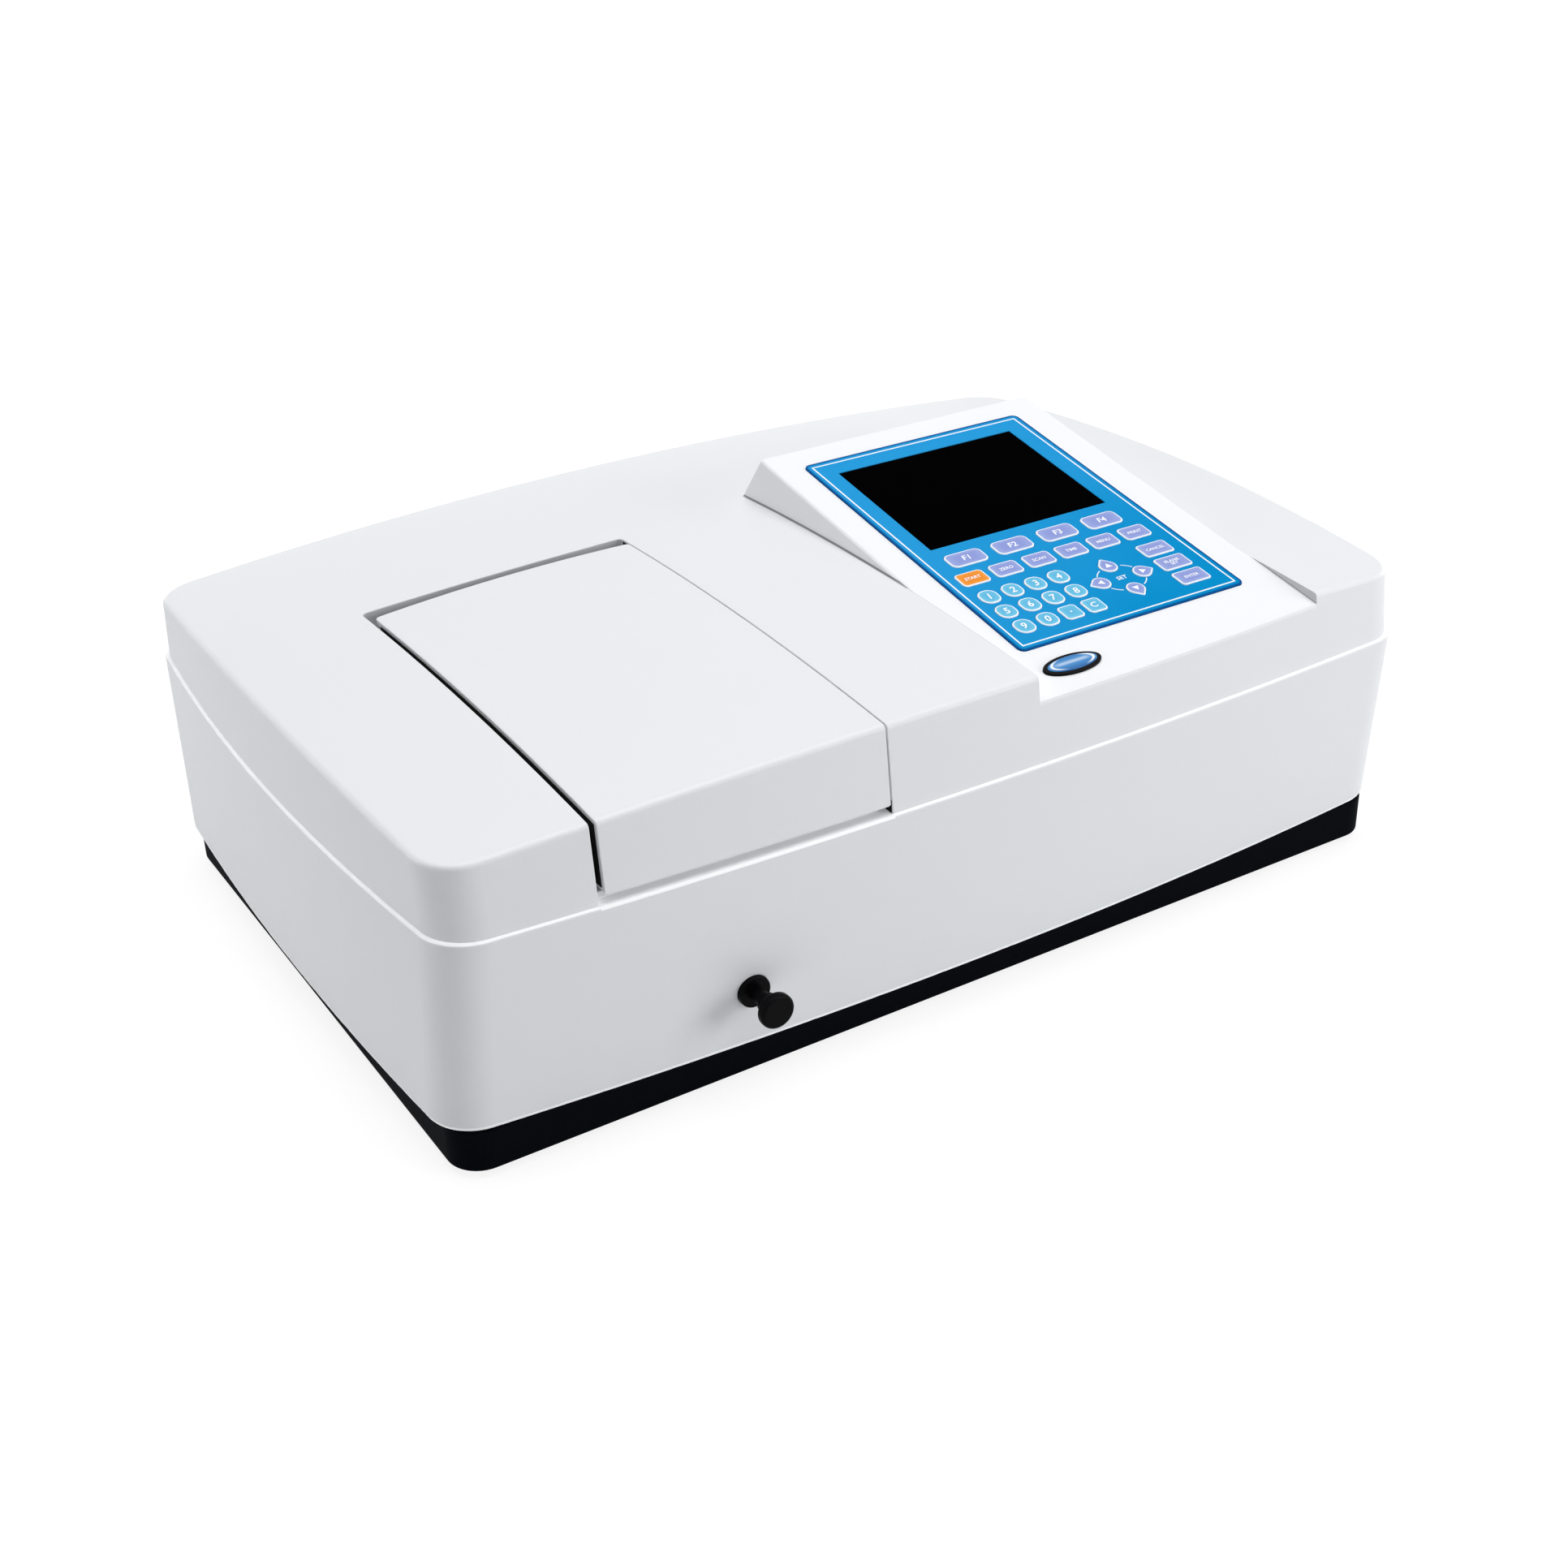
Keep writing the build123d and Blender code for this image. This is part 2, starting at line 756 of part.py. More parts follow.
with BuildPart() as guide_rails:
    for side in (-1, 1):
        with BuildSketch(along_y(rod_x + side * rail_spread / 2, tub_front, rail_z)):
            Circle(rail_radius)
        extrude(amount=tub_back - tub_front)
finish(guide_rails.part, "guide_rails")

# Pull rod, its collar in the front of the case and its knob
knob_front = rod_face_y - rod_reach
rod_front = knob_front + knob_length - knob_socket
with BuildPart() as pull_rod:
    with BuildSketch(along_y(rod_x, rod_front, rod_z)):
        Circle(rod_radius)
    extrude(amount=carriage_front + rod_grip - rod_front)
finish(pull_rod.part, "pull_rod")

with BuildPart() as rod_collar:
    with BuildSketch(along_y(rod_x, rod_face_y - collar_proud, rod_z)):
        Circle(collar_radius)
    extrude(amount=collar_proud + collar_seat)
    fillet(rod_collar.edges().group_by(Axis.Y)[0], collar_proud / 3)
    with BuildSketch(along_y(rod_x, collar_seat_y, rod_z)):
        Circle(collar_barrel)
    extrude(amount=2 * wall)
    with BuildSketch(along_y(rod_x, far_front, rod_z)):
        Circle(rod_radius + running_gap)
    extrude(amount=case_depth, mode=Mode.SUBTRACT)
finish(rod_collar.part, "rod_collar")

with BuildPart() as rod_knob:
    with BuildSketch(along_y(rod_x, knob_front, rod_z)):
        Circle(knob_radius)
    extrude(amount=knob_disc)
    fillet(rod_knob.edges(), knob_disc / 3)
    with BuildSketch(along_y(rod_x, knob_front + knob_disc / 2, rod_z)):
        Circle(knob_neck)
    extrude(amount=knob_length - knob_disc / 2)
    chamfer(rod_knob.edges().group_by(Axis.Y)[-1], knob_chamfer)
    with BuildSketch(along_y(rod_x, rod_front, rod_z)):
        Circle(rod_radius)
    extrude(amount=knob_socket, mode=Mode.SUBTRACT)
finish(rod_knob.part, "rod_knob")


# Keys: each outline is a sketch about its own middle

def rounded_key(size, corner):
    """Key outline with round corners."""
    with BuildSketch() as outline:
        RectangleRounded(size[0], size[1], corner)
    return outline.sketch


def arrow_key(direction):
    """Round key outline with a tip that points away from the middle of the cluster."""
    half = arrow_key_radius**2 / arrow_key_tip
    side = (arrow_key_radius**2 - half**2) ** 0.5
    with BuildSketch() as outline:
        Circle(arrow_key_radius)
        Polygon((arrow_key_tip, 0), (half, side), (0, 0), (half, -side), align=None)
        fillet(outline.vertices().sort_by(Axis.X)[-1], arrow_tip_fillet)
    return outline.sketch.rotate(Axis.Z, direction)


keys = {}
for i in range(4):
    place = (row_u + (i - 1.5) * soft_key_pitch, soft_key_v)
    keys[f"soft_key_{i + 1}"] = (place, rounded_key(soft_key_size, soft_key_corner))
for i in range(6):
    place = (row_u + (i - 2.5) * mode_key_pitch, mode_key_v)
    name = f"mode_key_{i}" if i else "start_key"
    keys[name] = (place, rounded_key(mode_key_size, mode_key_corner))
for i in range(3):
    place = (side_key_u, block_v + (1 - i) * block_pitch)
    keys[f"side_key_{i + 1}"] = (place, rounded_key(side_key_size, side_key_corner))
digit_names = [f"digit_key_{n}" for n in (1, 2, 3, 4, 5, 6, 7, 8, 9, 0)] + ["point_key", "clear_key"]
for i, name in enumerate(digit_names):
    place = (digit_key_u + i % 4 * digit_key_pitch, block_v + (1 - i // 4) * block_pitch)
    corner = clear_key_corner if name in ("point_key", "clear_key") else digit_key_corner
    keys[name] = (place, rounded_key(digit_key_size, corner))
arrow_angles = {"right": 0, "up": 90, "left": 180, "down": 270}
for name, angle in arrow_angles.items():
    turn = radians(angle)
    place = (arrow_u + arrow_reach[0] * cos(turn), block_v + arrow_reach[1] * sin(turn))
    keys[f"arrow_{name}_key"] = (place, arrow_key(angle))

skirt_top = -overlay_seat - key_play
skirt_low = skirt_top - key_skirt_height
for name, (place, outline) in keys.items():
    with BuildPart() as key:
        with BuildSketch(on_console(skirt_low)):
            with Locations(place):
                add(outline)
        extrude(amount=overlay_proud + key_rise - skirt_low)
        fillet(key.faces().sort_by(console_normal)[-1].edges(), key_rise / 2)
        with BuildSketch(on_console(skirt_low)) as skirt:
            with Locations(place):
                add(outline)
            offset(amount=key_skirt)
        extrude(amount=key_skirt_height)
    finish(key.part, name)

# Keypad overlay: a sheet with a hole for the screen and one for each key
with BuildPart() as keypad_overlay:
    with BuildSketch(on_console(-overlay_seat)):
        with Locations((overlay_u, overlay_v)):
            RectangleRounded(overlay_width, overlay_length, overlay_corner)
        with Locations((screen_u, screen_v)):
            Rectangle(screen_width + 2 * fit_gap, screen_length + 2 * fit_gap, mode=Mode.SUBTRACT)
        for place, outline in keys.values():
            with BuildSketch(mode=Mode.PRIVATE) as key_hole:
                with Locations(place):
                    add(outline)
                offset(amount=fit_gap)
            add(key_hole.sketch, mode=Mode.SUBTRACT)
    extrude(amount=overlay_seat + overlay_proud)
finish(keypad_overlay.part, "keypad_overlay")

# Display module: its dark glass stands in the overlay, its body hangs under the console
module_level = -wall - key_play
with BuildPart() as display_module:
    with BuildSketch(on_console(module_level)):
        with Locations((screen_u, screen_v)):
            Rectangle(screen_width, screen_length)
    extrude(amount=overlay_proud - screen_drop - module_level)
    with BuildSketch(on_console(module_level)):
        with Locations((screen_u, screen_v)):
            Rectangle(screen_width + 2 * panel_lip, screen_length + 2 * panel_lip)
    extrude(amount=-display_depth)
finish(display_module.part, "display_module")

# Keypad board with a snap dome under each key
board_top_level = -wall - key_play
with BuildPart() as keypad_board:
    with BuildSketch(on_console(board_top_level)):
        with Locations(key_middle):
            margin = key_margin + panel_lip
            Rectangle(key_area[0] + 2 * margin, key_area[1] + 2 * margin)
    extrude(amount=-board_thickness)
    with BuildSketch(on_console(board_top_level)):
        with Locations(*[place for place, outline in keys.values()]):
            Circle(dome_dot_radius)
    extrude(amount=skirt_low - key_travel - key_play - board_top_level)
finish(keypad_board.part, "keypad_board")

# Oval badge: dark rim with a domed blue lens
lens_size = (badge_size[0] - 2 * badge_rim[0], badge_size[1] - 2 * badge_rim[1])
with BuildPart() as badge_rim_ring:
    with BuildSketch(on_console(0)):
        with Locations((badge_u, badge_v)):
            Ellipse(badge_size[0] / 2, badge_size[1] / 2)
    extrude(amount=badge_height)
    fillet(badge_rim_ring.faces().sort_by(console_normal)[-1].edges(), badge_height / 3)
    with BuildSketch(on_console(badge_height / 3)):
        with Locations((badge_u, badge_v)):
            Ellipse(lens_size[0] / 2, lens_size[1] / 2)
    extrude(amount=badge_height, mode=Mode.SUBTRACT)
finish(badge_rim_ring.part, "badge_rim")

with BuildPart() as badge_lens:
    with BuildSketch(on_console(badge_height / 3)):
        with Locations((badge_u, badge_v)):
            Ellipse(lens_size[0] / 2 - fit_gap / 2, lens_size[1] / 2 - fit_gap / 2)
    extrude(amount=badge_lens_rise)
    fillet(badge_lens.faces().sort_by(console_normal)[-1].edges(), badge_lens_rise / 2)
finish(badge_lens.part, "badge_lens")

# Rear panel: plate behind the case's rear frame, with cut-outs and a slotted grille for the fan
panel_inside = panel_y - panel_thickness
grille_radius = fan_size / 2 - grille_margin
slot_pitch = grille_slot_width + grille_bar
slot_rows = [(i - (grille_slots - 1) / 2) * slot_pitch for i in range(grille_slots)]
with BuildPart() as rear_panel:
    add(block(panel_left, panel_right, panel_inside, panel_y, panel_bottom, panel_top))
    with BuildSketch(Plane.XZ.offset(-panel_y)):
        for row in slot_rows:
            chord = 2 * (grille_radius**2 - row**2) ** 0.5
            with Locations((fan_x, fan_z + row)):
                SlotOverall(chord, grille_slot_width)
        with Locations((inlet_x, rear_row_z)):
            Rectangle(inlet_body[0] + 2 * fit_gap, inlet_body[1] + 2 * fit_gap)
        with Locations((port_x, rear_row_z)):
            Rectangle(port_size[0] + 2 * fit_gap, port_size[1] + 2 * fit_gap)
        with Locations((serial_x, serial_z)):
            Rectangle(serial_shell[0] + 2 * fit_gap, serial_shell[1] + 2 * fit_gap)
    extrude(amount=panel_thickness, mode=Mode.SUBTRACT)
finish(rear_panel.part, "rear_panel")

# Power inlet: one body with a mains socket and the pocket for the rocker
socket_x = inlet_x - inlet_body[0] / 2 + wall + socket_size[0] / 2
rocker_x = inlet_x + inlet_body[0] / 2 - wall - rocker_pocket[0] / 2
bezel_face = panel_y + bezel_proud
with BuildPart() as power_inlet:
    with BuildSketch(along_y(inlet_x, panel_y, rear_row_z)):
        RectangleRounded(inlet_bezel[0], inlet_bezel[1], bezel_corner)
    extrude(amount=bezel_proud)
    fillet(power_inlet.edges().group_by(Axis.Y)[-1], bezel_proud / 3)
    with BuildSketch(along_y(inlet_x, panel_y, rear_row_z)):
        Rectangle(*inlet_body)
    extrude(amount=-inlet_depth)
    with BuildSketch(along_y(socket_x, bezel_face, rear_row_z)) as socket:
        Rectangle(*socket_size)
        chamfer(socket.vertices().group_by(Axis.Z)[0], socket_chamfer)
    extrude(amount=-socket_depth, mode=Mode.SUBTRACT)
    with BuildSketch(along_y(socket_x, bezel_face - socket_depth, rear_row_z)):
        with Locations((-blade_pitch, blade_rise), (0, -earth_blade_drop), (blade_pitch, blade_rise)):
            Rectangle(*blade_size)
    extrude(amount=blade_length)
    with BuildSketch(along_y(rocker_x, bezel_face, rear_row_z)):
        Rectangle(*rocker_pocket)
    extrude(amount=-inlet_depth + wall, mode=Mode.SUBTRACT)
finish(power_inlet.part, "power_inlet")

# Rocker of the mains switch, tipped to its off side
rocker_pivot_y = bezel_face - rocker_pivot_depth
rocker_half = rocker_pocket[1] / 2 - rocker_side_gap
with BuildPart() as rocker_switch:
    with BuildSketch(along_x(rocker_x - rocker_pocket[0] / 2 + rocker_end_gap, rocker_pivot_y, rear_row_z)):
        Polygon(
            (rocker_rise, -rocker_half), (rocker_rise - rocker_dip, 0), (rocker_rise, rocker_half),
            (-rocker_rise, rocker_half - rocker_taper), (-2 * rocker_rise, 0),
            (-rocker_rise, rocker_taper - rocker_half),
            align=None,
            rotation=rocker_swing / 2,
        )
    extrude(amount=rocker_pocket[0] - 2 * rocker_end_gap)
finish(rocker_switch.part, "rocker_switch")

# Data ports: a square socket with its tongue and a nine-hole connector, two separate solids
with BuildPart() as data_ports:
    with BuildSketch(along_y(port_x, panel_y + port_proud, rear_row_z)):
        Rectangle(*port_size)
    extrude(amount=-port_depth)
    with BuildSketch(along_y(port_x, panel_y + port_proud, rear_row_z)):
        Rectangle(port_size[0] - wall, port_size[1] - wall)
    extrude(amount=-port_depth / 2, mode=Mode.SUBTRACT)
    with BuildSketch(along_y(port_x, panel_y + port_proud - port_depth / 2, rear_row_z)):
        Rectangle(port_size[0] / 2, port_size[1] / 4)
    extrude(amount=port_depth / 2 - port_proud)
    with BuildSketch(along_y(serial_x, panel_inside, serial_z)):
        Rectangle(*serial_flange)
    extrude(amount=-port_depth / 2)
    with BuildSketch(along_y(serial_x, panel_inside, serial_z)) as shell:
        Trapezoid(serial_shell[0], serial_shell[1], serial_side_angle)
        fillet(shell.vertices(), serial_corner)
    extrude(amount=serial_reach)
    with BuildSketch(along_y(serial_x, panel_inside + serial_reach, serial_z)):
        for row, count in ((-1, 4), (1, 5)):
            with Locations((0, row * pin_pitch / 2)):
                with GridLocations(pin_pitch, 1, count, 1):
                    Circle(pin_pitch / 5)
    extrude(amount=-port_depth / 4, mode=Mode.SUBTRACT)
finish(data_ports.part, "data_ports")

# Cooling fan: frame with three struts and a stub shaft, and the rotor that runs on it
fan_inside = panel_inside - fan_depth
strut = fan_depth / 6
rotor_depth = fan_depth - strut - 2 * rotor_end_gap - rotor_setback
with BuildPart() as fan_frame:
    with BuildSketch(along_y(fan_x, fan_inside, fan_z)):
        RectangleRounded(fan_size, fan_size, fan_corner)
        Circle(fan_size / 2 - fan_rim, mode=Mode.SUBTRACT)
        with GridLocations(fan_size - 2 * fan_screw_edge, fan_size - 2 * fan_screw_edge, 2, 2):
            Circle(fan_screw_radius, mode=Mode.SUBTRACT)
    extrude(amount=fan_depth)
    with BuildSketch(along_y(fan_x, fan_inside, fan_z)):
        Circle(fan_hub_radius)
        with PolarLocations(fan_size / 4, 3, start_angle=30):
            Rectangle(fan_size / 2, 2 * strut)
    extrude(amount=strut)
    with BuildSketch(along_y(fan_x, fan_inside, fan_z)):
        Circle(fan_shaft_radius)
    extrude(amount=fan_depth - strut)
finish(fan_frame.part, "fan_frame")

with BuildPart() as fan_rotor:
    with BuildSketch(along_y(fan_x, fan_inside + strut + rotor_end_gap, fan_z)):
        Circle(fan_hub_radius)
    extrude(amount=rotor_depth)
    fillet(fan_rotor.edges().group_by(Axis.Y)[-1], hub_fillet)
    root = fan_hub_radius - blade_root
    for i in range(fan_blades):
        turn = 2 * pi * i / fan_blades
        out = Vector(cos(turn), 0, sin(turn))
        middle = Vector(fan_x, fan_inside + strut + rotor_end_gap + rotor_depth / 2, fan_z)
        with BuildSketch(Plane(origin=middle + out * root, x_dir=(0, 1, 0), z_dir=out)):
            Rectangle(rotor_depth, blade_thickness, rotation=blade_twist)
        extrude(amount=fan_size / 2 - fan_rim - fan_tip_gap - root)
    with BuildSketch(along_y(fan_x, fan_inside, fan_z)):
        Circle(fan_shaft_radius + running_gap)
    extrude(amount=fan_depth - strut + rotor_end_gap, mode=Mode.SUBTRACT)
finish(fan_rotor.part, "fan_rotor")

# Optical deck: plate that carries the compartment and the optical boxes
with BuildPart() as optical_deck:
    add(block(deck_left, deck_step_x, deck_front, deck_back, deck_bottom, deck_top))
    add(block(deck_left, deck_right, deck_step_y, deck_back, deck_bottom, deck_top))
    fillet(optical_deck.edges().filter_by(Axis.Z), deck_corner)
finish(optical_deck.part, "optical_deck")

# Monochromator: open box with a post for the grating, and its cover plate
mono_left = tub_right + housing_gap
mono_middle = ((mono_left + mono_right) / 2, (mono_front + mono_back) / 2)
mono_floor = deck_top + housing_wall
lamp_beam_y = (lamp_front + mono_back) / 2
with BuildPart() as monochromator_box:
    add(block(mono_left, mono_right, mono_front, mono_back, deck_top, mono_top))
    fillet(monochromator_box.edges().filter_by(Axis.Z), housing_wall)
    add(
        block(
            mono_left + housing_wall, mono_right - housing_wall,
            mono_front + housing_wall, mono_back - housing_wall, mono_floor, mono_top,
        ),
        mode=Mode.SUBTRACT,
    )
    with BuildSketch(along_x(mono_left, beam_y, beam_z)):
        Circle(beam_radius)
    extrude(amount=housing_wall, mode=Mode.SUBTRACT)
    with BuildSketch(along_x(mono_right, lamp_beam_y, beam_z)):
        Circle(beam_radius)
    extrude(amount=-housing_wall, mode=Mode.SUBTRACT)
    with BuildSketch(Plane.XY.offset(mono_floor)):
        with Locations(mono_middle):
            Circle(2 * grating_stem)
    extrude(amount=grating_lift)
    with BuildSketch(Plane.XY.offset(mono_floor)):
        with Locations(mono_middle):
            Circle(grating_stem)
    extrude(amount=grating_lift + turret_thickness)
finish(monochromator_box.part, "monochromator_box")

with BuildPart() as monochromator_cover:
    add(block(mono_left, mono_right, mono_front, mono_back, mono_top, mono_top + cover_plate))
    fillet(monochromator_cover.edges().filter_by(Axis.Z), housing_wall)
finish(monochromator_cover.part, "monochromator_cover")

turret_z = mono_floor + grating_lift + running_gap
with BuildPart() as grating_turret:
    with BuildSketch(Plane.XY.offset(turret_z)):
        with Locations(mono_middle):
            Circle(grating_radius)
            Circle(grating_stem + running_gap, mode=Mode.SUBTRACT)
    extrude(amount=turret_thickness)
    with BuildSketch(Plane.XY.offset(turret_z + turret_thickness)):
        with Locations((mono_middle[0], mono_middle[1] + grating_stem + grating_size[2])):
            Rectangle(grating_size[0], grating_size[2])
    extrude(amount=beam_z + grating_size[1] / 2 - turret_z - turret_thickness)
finish(grating_turret.part, "grating_turret")

# Lamp house: vented box beside the monochromator, open below to the deck
lamp_left = mono_right + housing_gap
with BuildPart() as lamp_house:
    add(block(lamp_left, lamp_right, lamp_front, lamp_back, deck_top, lamp_top))
    fillet(lamp_house.edges().filter_by(Axis.Z), housing_wall)
    add(
        block(
            lamp_left + wall, lamp_right - wall, lamp_front + wall, lamp_back - wall,
            deck_top, lamp_top - wall,
        ),
        mode=Mode.SUBTRACT,
    )
    with BuildSketch(along_x(lamp_left, lamp_beam_y, beam_z)):
        Circle(beam_radius)
    extrude(amount=wall, mode=Mode.SUBTRACT)
    with BuildSketch(Plane.XY.offset(lamp_top - wall)):
        with Locations(((lamp_left + lamp_right) / 2, (lamp_front + lamp_back) / 2)):
            with GridLocations(3 * grille_slot_width, 1, grille_slots, 1):
                SlotOverall((lamp_back - lamp_front) / 2, grille_slot_width, rotation=90)
    extrude(amount=wall, mode=Mode.SUBTRACT)
finish(lamp_house.part, "lamp_house")

# Detector box on the other side of the compartment
detector_right = tub_left - housing_gap
with BuildPart() as detector_box:
    low_y = beam_y - detector_length / 2
    add(block(detector_left, detector_right, low_y, low_y + detector_length, deck_top, detector_top))
    fillet(detector_box.edges().filter_by(Axis.Z), housing_wall)
    with BuildSketch(along_x(detector_right, beam_y, beam_z)):
        Circle(beam_radius)
    extrude(amount=-2 * housing_wall, mode=Mode.SUBTRACT)
finish(detector_box.part, "detector_box")

# Power supply behind the compartment
with BuildPart() as power_supply:
    add(block(supply_left, supply_right, supply_front, supply_back, deck_top, supply_top))
    fillet(power_supply.edges().filter_by(Axis.Z), wall / 2)
    with BuildSketch(Plane.XY.offset(supply_top)):
        with Locations(((supply_left + supply_right) / 2, (supply_front + supply_back) / 2)):
            with GridLocations(3 * grille_slot_width, 1, grille_slots, 1):
                SlotOverall((supply_back - supply_front) / 2, grille_slot_width, rotation=90)
    extrude(amount=-wall, mode=Mode.SUBTRACT)
finish(power_supply.part, "power_supply")

# Main board on its posts, with its larger components
main_middle = ((main_left + main_right) / 2, (main_front + main_back) / 2)
main_size = (main_right - main_left, main_back - main_front)
board_top = main_bottom + board_thickness
with BuildPart() as main_board:
    add(block(main_left, main_right, main_front, main_back, main_bottom, board_top))
    with BuildSketch(Plane.XY.offset(board_top)):
        with Locations(main_middle):
            with GridLocations(main_size[0] / 4, main_size[1] / 3, 3, 2):
                Rectangle(main_size[0] / 8, main_size[1] / 6)
    extrude(amount=2 * board_thickness)
    with BuildSketch(Plane.XY.offset(board_top)):
        with Locations((main_middle[0], main_front + main_size[1] / 12)):
            Rectangle(main_size[0] / 2, main_size[1] / 16)
    extrude(amount=6 * board_thickness)
finish(main_board.part, "main_board")
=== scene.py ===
"""Bench-top ultraviolet and visible light spectrophotometer: finishes and fine detail.

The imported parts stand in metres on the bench, X to the right, Y to the rear and Z up. A value with
* mm is in metres. The others are in millimetres, and become metres where points are made.
"""
import math

import bmesh
import bpy
import numpy as np
from mathutils import Matrix, Vector


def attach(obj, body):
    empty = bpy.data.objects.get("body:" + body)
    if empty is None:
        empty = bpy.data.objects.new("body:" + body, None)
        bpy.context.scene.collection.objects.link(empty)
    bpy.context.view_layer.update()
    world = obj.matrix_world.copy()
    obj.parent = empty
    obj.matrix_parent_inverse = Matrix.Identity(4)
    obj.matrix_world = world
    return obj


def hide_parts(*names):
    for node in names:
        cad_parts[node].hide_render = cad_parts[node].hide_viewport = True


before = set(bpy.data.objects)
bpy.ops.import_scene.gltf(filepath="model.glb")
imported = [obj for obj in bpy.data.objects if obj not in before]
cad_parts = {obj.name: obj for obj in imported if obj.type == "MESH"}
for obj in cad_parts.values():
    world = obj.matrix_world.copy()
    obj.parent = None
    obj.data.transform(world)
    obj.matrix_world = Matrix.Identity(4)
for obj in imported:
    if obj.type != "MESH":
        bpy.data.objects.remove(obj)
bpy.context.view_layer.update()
mm = 0.001

# Studio: a white sweep of card under the case and soft lamps round it: overhead, in front, at the
# left, and two low strips behind and at the right. The card glows for the camera, so that the
# shadow on it stays faint.
card_colour = (0.86, 0.87, 0.88, 1)
card_reach = 30.0
shadow_share = 0.22
card_glow = 0.86
card_fade = (0.45, 1.5)

scene = bpy.context.scene
scene.view_settings.view_transform = "Standard"


class Wire:
    """A shader socket. Sums and products of wires and numbers add Math nodes."""

    def __init__(self, tree, socket=None):
        self.tree = tree
        self.socket = socket

    def node(self, kind, settings, inputs, output=0):
        """Add any node: its settings first, then the numbers or wires of its sockets."""
        made = self.tree.nodes.new("ShaderNode" + kind)
        for name, value in settings.items():
            setattr(made, name, value)
        for name, value in inputs.items():
            socket = next(s for s in made.inputs if s.identifier == name)
            if isinstance(value, Wire):
                self.tree.links.new(value.socket, socket)
            else:
                socket.default_value = value
        if isinstance(output, str):
            return Wire(self.tree, next(s for s in made.outputs if s.identifier == output))
        return Wire(self.tree, made.outputs[output]) if made.outputs else made

    def maths(self, operation, first, second=0.0):
        """Math node on one or two values."""
        return self.node("Math", {"operation": operation}, {"Value": first, "Value_001": second})

    def __add__(self, other):
        return self.maths("ADD", self, other)

    def __radd__(self, other):
        return self.maths("ADD", other, self)

    def __sub__(self, other):
        return self.maths("SUBTRACT", self, other)

    def __rsub__(self, other):
        return self.maths("SUBTRACT", other, self)

    def __mul__(self, other):
        return self.maths("MULTIPLY", self, other)

    def __rmul__(self, other):
        return self.maths("MULTIPLY", other, self)

    def __truediv__(self, other):
        return self.maths("DIVIDE", self, other)

    def __abs__(self):
        return self.maths("ABSOLUTE", self)

    def above(self, low, high=None):
        """1 where the value is over low, or a smooth rise from 0 to 1 between low and high."""
        if high is None:
            return self.maths("GREATER_THAN", self, low)
        limits = {"Value": self, "From Min": low, "From Max": high}
        return self.node("MapRange", {"interpolation_type": "SMOOTHSTEP", "clamp": True}, limits)

    def most(self, other):
        return self.maths("MAXIMUM", self, other)

    def least(self, other):
        return self.maths("MINIMUM", self, other)

    def root(self):
        return self.maths("SQRT", self)


def colour_mix(mask, low, high):
    """Colour low where the mask is 0 and high where it is 1."""
    values = {"Factor_Float": mask, "A_Color": low, "B_Color": high}
    return mask.node("Mix", {"data_type": "RGBA"}, values, "Result_Color")


def new_material(name):
    """An empty material and a wire to build it with."""
    made = bpy.data.materials.new(name)
    made.use_nodes = True
    made.node_tree.nodes.clear()
    return made, Wire(made.node_tree)


def bare_rays(wire):
    """1 for rays that come from the camera, a reflection or through glass, and 0 for soft light."""
    path = wire.node("LightPath", {}, {}, "Is Camera Ray")
    mirror = wire.node("LightPath", {}, {}, "Is Glossy Ray")
    clear = wire.node("LightPath", {}, {}, "Is Transmission Ray")
    return path.most(mirror).most(clear)


card, wire = new_material("studio_card")
ray = bare_rays(wire)
lit = wire.node("BsdfDiffuse", {}, {"Color": card_colour})
pale = wire.node("BsdfDiffuse", {}, {"Color": (shadow_share, shadow_share, shadow_share, 1)})
card_at = wire.node("TexCoord", {}, {}, "Object")
distance = card_at.node("VectorMath", {"operation": "LENGTH"}, {"Vector": card_at}, "Value")
fade = distance.above(*card_fade)
glow = wire.node("Emission", {}, {"Color": (1, 1, 1, 1), "Strength": fade * (1 - card_glow) + card_glow})
shown = wire.node("AddShader", {}, {"Shader": pale, "Shader_001": glow})
both = wire.node("MixShader", {}, {"Fac": ray, "Shader": lit, "Shader_001": shown})
wire.node("OutputMaterial", {}, {"Surface": both})

corners = np.array([(-1, -1, 0), (1, -1, 0), (1, 1, 0), (-1, 1, 0)]) * card_reach
bench = bpy.data.meshes.new("bench_card")
bench.from_pydata(corners.tolist(), [], [(0, 1, 2, 3)])
bench.materials.append(card)
bench_card = bpy.data.objects.new("bench_card", bench)
scene.collection.objects.link(bench_card)

world = bpy.data.worlds.new("studio")
scene.world = world
world.use_nodes = True
world.node_tree.nodes.clear()
room = Wire(world.node_tree)
sky = room.node("Background", {}, {"Color": (1, 1, 1, 1), "Strength": bare_rays(room)})
room.node("OutputWorld", {}, {"Surface": sky})


def soft_lamp(name, place, aim, size, watts):
    """Square soft box at a place, turned to face another."""
    data = bpy.data.lights.new(name, "AREA")
    data.shape = "RECTANGLE"
    data.size, data.size_y = size
    data.energy = watts
    lamp = bpy.data.objects.new(name, data)
    lamp.location = place
    lamp.rotation_euler = (Vector(aim) - Vector(place)).to_track_quat("-Z", "Y").to_euler()
    scene.collection.objects.link(lamp)


